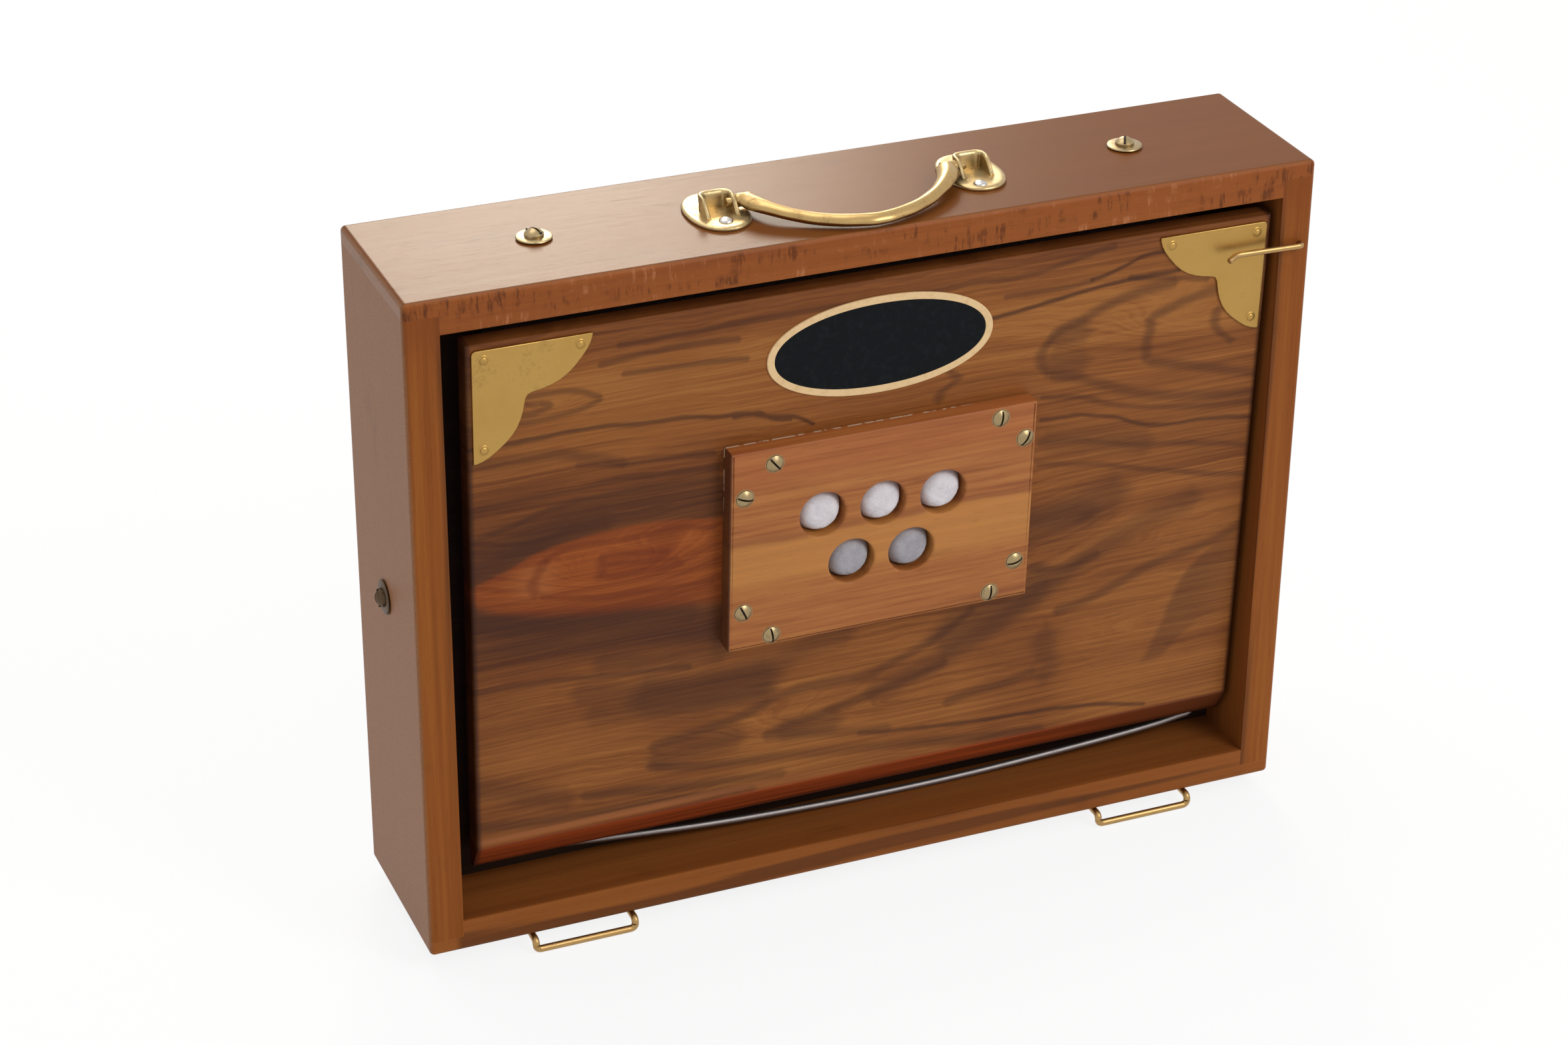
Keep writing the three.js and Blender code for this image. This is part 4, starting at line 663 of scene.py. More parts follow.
def figure_nodes(graph, given):
    """The growth rings of a flat-sawn board: height plus a swell exp(-((z - z0) / s)^2) for each place
    where the log's heart comes near the face, so that equal values run in pointed arches and eyes. Over
    them run the drawn lines, whose strength falls with the distance |z - line(x)|."""
    vector = given["Vector"]
    x, _, z = graph.lengths(vector, UNDERSIDE)
    slow = graph.noise(graph.scaled(vector, (9, 9, 22)), detail=2)
    quick = graph.noise(graph.scaled(vector, (34, 34, 110)), detail=3, roughness=0.6)
    height = graph.math("MULTIPLY_ADD", slow, 18.0, z)
    height = graph.math("MULTIPLY_ADD", quick, 4.0, height)

    def bell(value, middle, half):
        away = graph.math("DIVIDE", graph.math("SUBTRACT", value, middle), half)
        return graph.math("EXPONENT", graph.product(away, away, -1.0))

    for middle, half, lift, start, full in FIGURE_RISES:
        swell = graph.product(bell(z, middle, half), graph.level(x, start, full))
        height = graph.math("MULTIPLY_ADD", swell, lift, height)
    for middle, half, lift, centre, length in FIGURE_EYES:
        swell = graph.product(bell(z, middle, half), bell(x, centre, length))
        height = graph.math("MULTIPLY_ADD", swell, lift, height)
    bands = graph.line_noise(height, scale=0.05)
    flow = graph.node("CombineXYZ", {0: graph.math("MULTIPLY", x, 0.012), 2: height}).outputs[0]
    lines = graph.noise(flow, scale=0.62, detail=4, roughness=0.65)

    wobble = graph.math("MULTIPLY_ADD", quick, 3.0, -1.5)
    aside = graph.math("ADD", x, wobble)
    drawn = graph.math("ADD", z, wobble)
    clear = 1.0
    for half, soft, strength, lines_of_kind in FIGURE_LINES:
        nearest = 1000.0
        for points in lines_of_kind:
            extent = np.ptp(np.array(points, float), axis=0)
            if extent[1] > extent[0]:
                points = [(b, a) for a, b in points]
                line, across, along = guide(graph, z, points, FIGURE_UP), aside, z
            else:
                line, across, along = guide(graph, x, points), drawn, x
            low, high = min(a for a, _ in points), max(a for a, _ in points)
            away = graph.math("ABSOLUTE", graph.math("SUBTRACT", across, line))
            before, after = graph.math("SUBTRACT", low, along), graph.math("SUBTRACT", along, high)
            beyond = graph.math("MAXIMUM", graph.math("MAXIMUM", before, after), 0.0)
            away = graph.math("MULTIPLY_ADD", beyond, 1.1, away)
            nearest = graph.math("MINIMUM", nearest, away)
        mask = graph.product(graph.level(nearest, half + soft, half * 0.5), strength)
        clear = graph.product(clear, graph.math("SUBTRACT", 1.0, mask))
    inside = graph.math("SUBTRACT", aside, guide(graph, z, FIELD_SIDE, FIGURE_UP))
    above = graph.math("SUBTRACT", drawn, guide(graph, x, FIELD_FOOT))
    field = graph.product(graph.level(inside, -1.5, 3.0), graph.level(above, -1.5, 3.5),
                          graph.level(inside, 40.0, 6.0, 0.16, 0.42),
                          graph.band(z, (62.0, 66.0), (134.0, 110.0)))
    clear = graph.product(clear, graph.math("SUBTRACT", 1.0, field))
    fade = graph.math("MULTIPLY_ADD", slow, 0.8, 0.55)
    dark = graph.math("MULTIPLY", graph.math("SUBTRACT", 1.0, clear), fade, clamp=True)
    top = graph.math("SUBTRACT", guide(graph, x, FLAME_TOP), drawn)
    foot = graph.math("SUBTRACT", drawn, guide(graph, x, FLAME_FOOT))
    flame = graph.product(graph.level(top, -0.8, 1.6), graph.level(foot, -2.0, 4.0),
                          graph.level(x, -46.0, -60.0))
    return bands, lines, dark, flame, x, z


def make_groups():
    """The effects that more than one finish uses, or that take many nodes."""
    place = ("Vector", "vector", None)
    for name, inputs, outputs, build in (
        ("wood_grain", [place], "Fine Wide Pores Blotch Height", grain_nodes),
        ("metal_patina", [place, ("Scale", "value", 60.0), ("Amount", "value", 0.2)],
         "Tarnish Cloud Brush", patina_nodes),
        ("flowing_figure", [place], "Bands Lines Dark Flame X Z", figure_nodes),
    ):
        node_group(name, inputs, outputs.split(), build)


def new_material(name):
    """A material with its graph, its object coordinates and its shader."""
    material = bpy.data.materials.new(name)
    material.use_nodes = True
    tree = material.node_tree
    shader = tree.nodes["Principled BSDF"]
    graph = Graph(tree)
    place = graph.node("TexCoord").outputs["Object"]
    return material, graph, place, shader


def finish_shader(graph, shader, colour, roughness, height=None, depth=0.0001, strength=0.3, **fixed):
    """Feeds what changes over the surface, and sets what doesn't on the shader itself."""
    graph.feed(shader.inputs["Base Color"], colour)
    graph.feed(shader.inputs["Roughness"], roughness)
    if height is not None:
        bump = graph.node("Bump", {"Height": height, "Distance": depth, "Strength": strength})
        graph.feed(shader.inputs["Normal"], bump.outputs[0])
    for key, value in fixed.items():
        shader.inputs[key.replace("_", " ")].default_value = value


# How the grain's pattern is turned, so that it runs along an axis of the box.
GRAIN_TURNS = {"x": (0, 0, 0), "z": (0, math.pi / 2, 0)}


def grain_along(graph, place, along, shift):
    lie = graph.scaled(place, (1, 1, 1), shift, GRAIN_TURNS[along])
    return graph.grouped("wood_grain", {"Vector": lie})


def wood(name, along, dark, middle, light, rough=0.42, pore_share=0.5, gloss=0.3, shift=(0, 0, 0)):
    """Straight-grained wood, with its grain along one axis of the box."""
    material, graph, place, shader = new_material(name)
    grain = grain_along(graph, place, along, shift)
    tone = graph.math("MULTIPLY_ADD", grain["Fine"], 0.35, graph.math("MULTIPLY", grain["Wide"], 0.65))
    colour = graph.ramp(tone, (0.30, dark), (0.50, middle), (0.68, light))
    colour = graph.tint(colour, graph.level(grain["Blotch"], 0.35, 0.75), 0.25, middle)
    colour = graph.tint(colour, grain["Pores"], pore_share, [c * 0.35 for c in dark])
    roughness = graph.math("MULTIPLY_ADD", grain["Fine"], 0.12, rough - 0.06)
    finish_shader(graph, shader, colour, roughness, grain["Height"], 0.00006, 0.35, Specular_IOR_Level=gloss)
    return material


def panel_wood(name):
    """The pump panel: dark flowing figure over a warm brown, with one flame of red heartwood. Its lower
    bevel took more stain, with painted shade along its foot; its ends carry painted shade, and a
    painted highlight runs above the bevel. Levels on x are places along the panel, and levels on z are
    heights above the underside of the case."""
    material, graph, place, shader = new_material(name)
    figure = graph.grouped("flowing_figure", {"Vector": place})
    grain = graph.grouped("wood_grain", {"Vector": place})
    x, z = figure["X"], figure["Z"]
    tone = graph.swing(figure["Bands"], 0.30, 0.53)
    tone = graph.swing(figure["Lines"], 0.58, tone)
    tone = graph.swing(grain["Fine"], 0.42, tone)
    tone = graph.swing(grain["Blotch"], 0.24, tone)
    # A shaded field behind the flame, and paler ones at the right, at the top and below the valve plate
    shade = graph.product(graph.band(z, (222.0, 205.0), (108.0, 128.0)), graph.level(x, -40.0, -66.0))
    tone = graph.math("MULTIPLY_ADD", shade, -0.16, tone)
    glow = graph.product(graph.level(x, 84.0, 110.0), graph.level(z, 122.0, 100.0))
    glow = graph.math("MAXIMUM", glow, graph.band(z, (226.0, 236.0), (262.0, 254.0)))
    middle = graph.product(graph.band(x, (-74.0, -44.0), (74.0, 44.0)), graph.level(z, 112.0, 96.0), 0.8)
    glow = graph.math("MAXIMUM", glow, middle)
    tone = graph.math("MULTIPLY_ADD", glow, 0.10, tone)
    colour = graph.ramp(
        tone, (0.26, (0.100, 0.029, 0.009)), (0.42, (0.165, 0.051, 0.013)), (0.56, (0.235, 0.079, 0.019)),
        (0.74, (0.320, 0.122, 0.030)),
    )
    # The flame, with a dark heart and a pale ring to the left of it
    red = graph.ramp(tone, (0.30, (0.19, 0.042, 0.009)), (0.48, (0.295, 0.074, 0.014)),
                     (0.66, (0.37, 0.118, 0.026)))
    heart = graph.product(graph.band(x, (-128.0, -108.0), (-78.0, -96.0)),
                          graph.band(z, (158.0, 164.0), (178.0, 172.0)))
    rim = graph.product(graph.band(x, (-166.0, -150.0), (-134.0, -146.0)),
                        graph.band(z, (158.0, 163.0), (178.0, 173.0)))
    red = graph.tint(red, rim, 0.25, (0.44, 0.16, 0.05))
    red = graph.tint(red, heart, 0.45, (0.17, 0.028, 0.007))
    colour = graph.mix(figure["Flame"], colour, red)
    colour = graph.tint(colour, grain["Pores"], 0.22, (0.03, 0.011, 0.006))
    deep = graph.mix(figure["Flame"], (0.042, 0.015, 0.009, 1), (0.125, 0.023, 0.007, 1))
    colour = graph.mix(figure["Dark"], colour, deep)
    # A painted highlight along the ridge above the bevel, the stained bevel with painted shade at its foot,
    # and painted shade on the ends
    ridge_highlight = graph.product(graph.band(z, (41.5, 43.5), (46.5, 44.0)), graph.level(x, 0.0, -100.0))
    colour = graph.tint(colour, ridge_highlight, 0.6, (0.36, 0.125, 0.045))
    bevel_stain_and_shade = graph.ramp(grain["Fine"], (0.3, (0.11, 0.019, 0.006)), (0.6, (0.27, 0.048, 0.010)))
    bevel_stain_and_shade = graph.mix(graph.level(x, 60.0, 176.0), bevel_stain_and_shade, (0.115, 0.030, 0.009, 1))
    # painted shade: the bevel's foot, over the gap below the panel, is darkened to near black
    bevel_stain_and_shade = graph.tint(bevel_stain_and_shade, graph.level(z, 32.5, 29.0), 0.7, (0.025, 0.007, 0.004))
    colour = graph.mix(graph.level(z, 42.2, 39.8), colour, bevel_stain_and_shade)
    low, high = edges_of("pump_panel")
    # painted shade: the panel's ends, in the gaps beside the case, are darkened
    ends = graph.math("MAXIMUM", graph.level(x, low[0] + 3.0, low[0] + 0.8),
                      graph.level(x, high[0] - 3.0, high[0] - 0.8))
    colour = graph.tint(colour, ends, 0.75, (0.028, 0.010, 0.006))
    roughness = graph.math("MULTIPLY_ADD", grain["Fine"], 0.12, 0.36)
    finish_shader(graph, shader, colour, roughness, grain["Height"], 0.00005, 0.3, Specular_IOR_Level=0.12)
    return material


def case_wood(name, along, shift=(0, 0, 0), gloss=0.08, rough=0.42, top_shade_and_wear=False):
    """The varnished boards of the case: quiet straight grain, smudged and worn paler at the front top
    arris, with plain brown outer sides whose greyer tone holds painted sheen. The top board is darkened
    all over as painted shade; its front edge is redder and scratched upright, and the others' are
    darker along their inner edge."""
    material, graph, place, shader = new_material(name)
    grain = grain_along(graph, place, along, shift)
    x, y, z = graph.lengths(place)
    tone = graph.math("MULTIPLY_ADD", grain["Fine"], 0.45, graph.math("MULTIPLY", grain["Wide"], 0.55))
    colour = graph.ramp(tone, (0.30, (0.172, 0.050, 0.011)), (0.50, (0.218, 0.067, 0.0145)),
                        (0.70, (0.262, 0.085, 0.019)))
    # painted shade: the top board's colour is darkened as a shaded copy of the case wood
    if top_shade_and_wear:
        colour = graph.mix(0.75, colour, (0.130, 0.040, 0.0065, 1))
    front = graph.level(y, CASE_FRONT + 1.6, CASE_FRONT + 0.4)
    warm = graph.ramp(tone, (0.30, (0.185, 0.048, 0.009)), (0.50, (0.258, 0.076, 0.0135)),
                      (0.70, (0.335, 0.112, 0.021)))
    colour = graph.mix(graph.math("MULTIPLY", front, 0.8), colour, warm)
    if along == "x" and not top_shade_and_wear:
        colour = graph.tint(colour, front, 0.45, (0.300, 0.100, 0.024))
    # The outer sides' plain, paler and greyer brown holds painted sheen as well as the wood's own colour
    flank_with_sheen = graph.level(graph.math("ABSOLUTE", x), CASE_HIGH[0] - 1.4, CASE_HIGH[0] - 0.3)
    speck = graph.noise(place, scale=900.0, detail=2)
    plain = graph.ramp(speck, (0.36, (0.232, 0.104, 0.047)), (0.64, (0.285, 0.132, 0.061)))
    colour = graph.mix(graph.math("MULTIPLY", flank_with_sheen, 0.85), colour, plain)
    rear = graph.level(y, CASE_BACK - 1.6, CASE_BACK - 0.4)
    colour = graph.tint(colour, rear, 0.6, (0.150, 0.058, 0.020))
    smudge = graph.level(grain["Blotch"], 0.62, 0.80)
    colour = graph.tint(colour, smudge, 0.45, (0.07, 0.022, 0.009))
    if top_shade_and_wear:
        edge = graph.product(front, graph.level(z, CASE_TOP - 16, CASE_TOP - 14))
        colour = graph.tint(colour, edge, 0.5, (0.290, 0.082, 0.026))
        upright = graph.noise(graph.scaled(place, (450, 60, 80)), detail=5, roughness=0.65)
        patch = graph.noise(graph.scaled(place, (26, 10, 90)), detail=3, roughness=0.6)
        scratch = graph.product(graph.level(upright, 0.50, 0.68), graph.level(patch, 0.49, 0.64), edge)
        colour = graph.tint(colour, scratch, 0.65, (0.46, 0.185, 0.085))
        streak = graph.product(graph.level(upright, 0.50, 0.38), graph.level(patch, 0.52, 0.36), edge)
        colour = graph.tint(colour, streak, 0.6, (0.040, 0.012, 0.008))
    else:
        inner = graph.level(graph.math("ABSOLUTE", x), INSIDE_HALF + 4.5, INSIDE_HALF + 0.5)
        inner = graph.product(inner, front, graph.level(grain["Wide"], 0.46, 0.60))
        colour = graph.tint(colour, inner, 0.6, (0.05, 0.016, 0.008))
        head = graph.product(graph.level(z, CASE_TOP - 34.0, CASE_TOP - 10.0), front)
        colour = graph.tint(colour, head, 0.65, (0.205, 0.054, 0.013))
    colour = graph.tint(colour, grain["Pores"], 0.22, (0.05, 0.015, 0.006))
    arris = graph.product(graph.level(y, CASE_FRONT + 2.2, CASE_FRONT + 0.9),
                          graph.level(z, CASE_TOP - 1.0, CASE_TOP - 0.3))
    colour = graph.tint(colour, arris, 0.35, (0.36, 0.15, 0.07))
    roughness = graph.math("MULTIPLY_ADD", grain["Fine"], 0.08, rough - 0.04)
    finish_shader(graph, shader, colour, roughness, grain["Height"], 0.00004, 0.25, Specular_IOR_Level=gloss)
    return material


def valve_wood(name):
    """The valve plate: orange wood with a golden band across it, painted shade at its left end, and
    chipped pale along its upper arris, where the pale marks are also a painted highlight."""
    material, graph, place, shader = new_material(name)
    grain = graph.grouped("wood_grain", {"Vector": place})
    x, _, z = graph.lengths(place, UNDERSIDE)
    sway = graph.noise(graph.scaled(place, (16, 60, 60)), detail=2)
    level = graph.math("MULTIPLY_ADD", sway, 8.0, z)
    streaks = graph.noise(graph.scaled(place, (11, 260, 260)), detail=4, roughness=0.65)
    tone = graph.swing(grain["Fine"], 0.5, streaks)
    colour = graph.ramp(tone, (0.30, (0.245, 0.072, 0.018)), (0.48, (0.335, 0.112, 0.027)),
                        (0.68, (0.410, 0.155, 0.040)))
    gold = graph.band(level, (149.0, 158.0), (178.0, 173.0))
    colour = graph.tint(colour, gold, 0.6, (0.50, 0.215, 0.050))
    seam = graph.band(level, (174.5, 176.5), (180.0, 177.5))
    colour = graph.tint(colour, seam, 0.45, (0.20, 0.060, 0.018))
    colour = graph.tint(colour, graph.level(z, 190.0, 206.0), 0.35, (0.36, 0.100, 0.028))
    colour = graph.tint(colour, grain["Pores"], 0.3, (0.10, 0.030, 0.010))
    low, _ = edges_of("valve_plate")
    # painted shade: the plate's left end, turned away from the light, is darkened
    end = graph.level(x, low[0] + 1.0, low[0] + 0.35)
    colour = graph.tint(colour, end, 0.85, (0.060, 0.017, 0.007))
    chips_and_highlight = graph.noise(graph.scaled(place, (300, 300, 300)), detail=3)
    proud = graph.node("VectorMath", {0: place, 1: PANEL_OUT}, operation="DOT_PRODUCT").outputs["Value"]
    proud = graph.math("MULTIPLY_ADD", proud, 1 / MM, -float(np.dot(on_panel(0, 0), PANEL_OUT)))
    crest = on_panel(0, VALVE_PLATE_MIDDLE[1] + VALVE_PLATE_HALF[1], VALVE_PLATE_FACE - 0.1)[2] - UNDERSIDE
    # Pale chips along the upper arris, partly real chipping and partly a painted highlight
    upper = graph.product(graph.level(z, crest - 0.6, crest - 0.2), graph.level(x, 52.0, 30.0))
    upper = graph.math("MAXIMUM", upper, graph.product(end, graph.level(z, 176.0, 214.0)))
    edge = graph.product(graph.level(proud, 1.5, 0.9), graph.level(chips_and_highlight, 0.47, 0.52))
    colour = graph.tint(colour, edge, upper, (0.55, 0.39, 0.27))
    roughness = graph.math("MULTIPLY_ADD", grain["Fine"], 0.1, 0.40)
    finish_shader(graph, shader, colour, roughness, grain["Height"], 0.00006, 0.35, Specular_IOR_Level=0.25)
    return material


def metal(name, base, dark, tarnish_colour, scale=60.0, amount=0.2, rough=0.3):
    """Worn polished metal with clouds of tarnish."""
    material, graph, place, shader = new_material(name)
    patina = graph.grouped("metal_patina", {"Vector": place, "Scale": scale, "Amount": amount})
    colour = graph.mix(patina["Cloud"], (*dark, 1), (*base, 1))
    colour = graph.tint(colour, patina["Tarnish"], 0.8, tarnish_colour)
    roughness = graph.math("MULTIPLY_ADD", patina["Tarnish"], 0.3, rough)
    roughness = graph.math("MULTIPLY_ADD", patina["Brush"], 0.1, roughness)
    finish_shader(graph, shader, colour, roughness, patina["Brush"], 0.00003, 0.2, Metallic=1.0)
    return material


def leather(name, light, dark):
    """Skin: a fine nap over slow cloudy shading."""
    material, graph, place, shader = new_material(name)
    cloud = graph.noise(place, scale=70.0, detail=4, roughness=0.6)
    nap = graph.noise(place, scale=900.0, detail=3, roughness=0.7)
    tone = graph.swing(nap, 0.5, cloud)
    colour = graph.mix(graph.level(tone, 0.3, 0.7), (*dark, 1), (*light, 1))
    finish_shader(graph, shader, colour, 0.6, nap, 0.0002, 0.5, Sheen_Weight=0.1, Sheen_Roughness=0.6)
    return material


def suede(name):
    """The flaps' grey suede: a lilac nap, darkened in the lower row of holes as painted shade, with dark
    specks.
    """
    material, graph, place, shader = new_material(name)
    _, _, z = graph.lengths(place, UNDERSIDE)
    cloud = graph.noise(place, scale=160.0, detail=5, roughness=0.65)
    nap = graph.noise(place, scale=1500.0, detail=3, roughness=0.7)
    tone = graph.swing(nap, 0.7, cloud)
    upper = graph.ramp(tone, (0.30, (0.54, 0.505, 0.535)), (0.66, (0.68, 0.64, 0.665)))
    # painted shade: a darker copy of the same suede for the lower row of holes
    lower = graph.ramp(tone, (0.30, (0.27, 0.255, 0.28)), (0.66, (0.36, 0.345, 0.37)))
    colour = graph.mix(graph.level(z, 158.0, 172.0), lower, upper)
    speck = graph.noise(place, scale=650.0, detail=2)
    low = graph.math("MAXIMUM", graph.band(z, (176.0, 170.0), (162.0, 168.0)),
                     graph.band(z, (151.0, 145.0), (137.0, 143.0)))
    specks = graph.product(graph.level(speck, 0.60, 0.66), low)
    colour = graph.tint(colour, specks, 0.7, (0.04, 0.035, 0.04))
    finish_shader(graph, shader, colour, 0.85, nap, 0.0002, 0.5, Sheen_Weight=0.15, Sheen_Roughness=0.6,
                  Specular_IOR_Level=0.2)
    return material


def painted(name, colour, speck, rough=0.35, gloss=0.3):
    """A printed or painted face with a faint speckle."""
    material, graph, place, shader = new_material(name)
    cloud = graph.noise(place, scale=400.0, detail=3)
    shade = graph.mix(graph.level(cloud, 0.45, 0.8), (*colour, 1), (*speck, 1))
    finish_shader(graph, shader, shade, graph.math("MULTIPLY_ADD", cloud, 0.15, rough), cloud, 0.00003,
                  0.2, Specular_IOR_Level=gloss)
    return material


# Settings

class ShrutiBoxSettings(bpy.types.PropertyGroup):
    """Sizes and colours of the shruti box that a user may change."""

    badge_width: FloatProperty(name="Badge width", description="Length of the oval badge", default=0.102,
                               unit="LENGTH")
    badge_height: FloatProperty(name="Badge height", description="Height of the oval badge",
                                default=0.0448, unit="LENGTH")
    screw_head: FloatProperty(name="Screw head", description="Radius of the valve plate's screw heads",
                              default=0.0038, unit="LENGTH")
    wire: FloatProperty(name="Foot wire", description="Radius of the brass wire of the feet",
                        default=0.0016, unit="LENGTH")
    brass: FloatVectorProperty(name="Brass", description="Colour of clean brass", subtype="COLOR",
                               default=(0.50, 0.31, 0.095), min=0, max=1)


# Straight-grained woods: material, grain, dark, middle and light colour, roughness, pores, gloss, shift
WOODS = {
    "back_panel": ("back_panel_wood", "x", (0.075, 0.024, 0.010), (0.15, 0.05, 0.017),
                   (0.22, 0.08, 0.027), 0.42, 0.6, 0.25),
    # The chest's wood is near black: painted shade for the board and batten deep behind the panel
    "chest": ("chest_wood_shaded", "x", (0.012, 0.006, 0.004), (0.022, 0.010, 0.006),
              (0.032, 0.015, 0.009), 0.7, 0.5, 0.1, (0.3, 0, 0)),
    "plain": ("plain_wood", "x", (0.33, 0.20, 0.11), (0.46, 0.31, 0.18), (0.55, 0.4, 0.25), 0.6, 0.5),
    "lever": ("lever_wood", "z", (0.42, 0.28, 0.15), (0.56, 0.41, 0.25), (0.66, 0.52, 0.35), 0.4, 0.3, 0.4),
}

# Metals: material, clean, dull and tarnished colour, scale and amount of tarnish, roughness
METALS = {
    "handle": ("handle_brass", (0.57, 0.39, 0.165), (0.35, 0.22, 0.08), (0.12, 0.065, 0.024),
               110.0, 0.32, 0.27),
    "handle_plate": ("handle_plate_brass", (0.70, 0.53, 0.28), (0.38, 0.26, 0.11), (0.045, 0.040, 0.022),
                     170.0, 0.42, 0.24),
    "wire": ("wire_brass", (0.50, 0.32, 0.13), (0.34, 0.20, 0.075), (0.12, 0.065, 0.03), 160.0, 0.24, 0.3),
    "reed": ("reed_brass", (0.72, 0.55, 0.25), (0.6, 0.44, 0.18), (0.3, 0.2, 0.08)),
    "screw": ("screw_brass", (0.47, 0.355, 0.19), (0.25, 0.175, 0.085), (0.06, 0.042, 0.020),
              320.0, 0.32, 0.28),
    "side_screw": ("side_screw_brass", (0.135, 0.085, 0.05), (0.07, 0.045, 0.028), (0.025, 0.017, 0.010),
                   320.0, 0.3, 0.45),
    "steel": ("spring_steel", (0.30, 0.27, 0.26), (0.20, 0.175, 0.165), (0.09, 0.065, 0.055),
              200.0, 0.2, 0.42),
    "silver": ("plated_screw", (0.66, 0.62, 0.58), (0.42, 0.39, 0.36), (0.14, 0.11, 0.08),
               260.0, 0.2, 0.25),
}
BRASS_DULLED = (0.8, 0.74, 0.62)
BRASS_TARNISH = (0.26, 0.155, 0.045)

# Painted, printed or bare faces: material, colour, speckle, roughness, gloss
FACES = {
    # Near black, for grime and painted shade in screw slots and round the valve screws' heads
    "dirt_and_shade": ("slot_dirt_and_shade", (0.020, 0.013, 0.007), (0.035, 0.024, 0.012), 0.8),
    "raw": ("raw_countersink", (0.36, 0.21, 0.10), (0.26, 0.14, 0.06), 0.7),
    "badge_black": ("badge_black", (0.0055, 0.0065, 0.008), (0.010, 0.011, 0.013), 0.4, 0.06),
    "badge_rim": ("badge_rim", (0.72, 0.50, 0.26), (0.62, 0.42, 0.2), 0.4),
}

# The frame's own nodes and their finishes, by whole name, or else by the first word found in the name
NODE_FINISHES = {
    "case_top": "case_top", "case_bottom": "case_bottom", "case_left": "case_left",
    "case_right": "case_right", "pump_panel": "panel", "valve_plate": "valve",
    "reservoir_panel": "back_panel", "chest_front_board": "chest", "pump_hinge_batten": "chest",
    "reed_board": "plain",
}
WORD_FINISHES = (
    ("tuning_lever", "lever"), ("reed_", "reed"), ("spring", "steel"), ("bellows", "bellows"),
    ("flap", "flap"), ("screw", "brass"), ("brass", "brass"), ("foot", "brass"), ("latch", "brass"),
    ("handle", "brass"),
)

finishes = {}


class SHRUTIBOX_OT_finishes(bpy.types.Operator):
    """Makes the materials and puts them on the frame's own nodes"""

    bl_idname = "shruti_box.finishes"
    bl_label = "Finishes"

    def execute(self, context):
        make_groups()
        for key, along, shift in (("bottom", "x", (0.7, 0, 0.3)), ("left", "z", (0, 0.2, 0)),
                                  ("right", "z", (0.4, 0.6, 0))):
            finishes["case_" + key] = case_wood("case_wood_" + key, along, shift)
        finishes["case_top"] = case_wood("case_wood_top", "x", gloss=0.07, rough=0.31, top_shade_and_wear=True)
        finishes["panel"] = panel_wood("panel_wood")
        finishes["valve"] = valve_wood("valve_wood")
        brass = tuple(context.scene.shruti_box.brass)
        dull = tuple(c * share for c, share in zip(brass, BRASS_DULLED))
        finishes["brass"] = metal("brass_metal", brass, dull, BRASS_TARNISH, 55.0, 0.24, 0.34)
        for make, kinds in ((wood, WOODS), (metal, METALS), (painted, FACES)):
            for key, values in kinds.items():
                finishes[key] = make(*values)
        finishes["flap"] = suede("flap_suede")
        finishes["bellows"] = leather("bellows_skin", (0.055, 0.024, 0.018), (0.022, 0.010, 0.009))
        for name, node in frame["nodes"].items():
            found = (finish for word, finish in WORD_FINISHES if word in name)
            key = NODE_FINISHES.get(name) or next(found, "plain")
            node.data.materials.clear()
            node.data.materials.append(finishes[key])
        return {"FINISHED"}


# Camera and stage: the camera stands to the left of the box and looks down on it.
CAMERA_PLACE = (-0.5630, -1.2957, 0.9017)
CAMERA_YAW = math.radians(22.61)
CAMERA_PITCH = math.radians(28.05)
CAMERA_ROLL = math.radians(-0.47)
SENSOR_WIDTH = 36.0
PHOTO_WIDTH = 2353
FOCAL_PIXELS = 5516.9
FLOOR_RADIUS = 8.0


def area_lamp(name, place, aim, size, power, colour=(1.0, 1.0, 1.0)):
    lamp = bpy.data.lights.new(name, "AREA")
    lamp.color = colour
    lamp.shape = "DISK"
    lamp.size = size
    lamp.energy = power
    holder = bpy.data.objects.new(name, lamp)
    direction = Vector(aim) - Vector(place)
    turn = direction.to_track_quat("-Z", "Y").to_matrix().to_4x4()
    holder.matrix_world = Matrix.Translation(place) @ turn
    bpy.context.scene.collection.objects.link(holder)


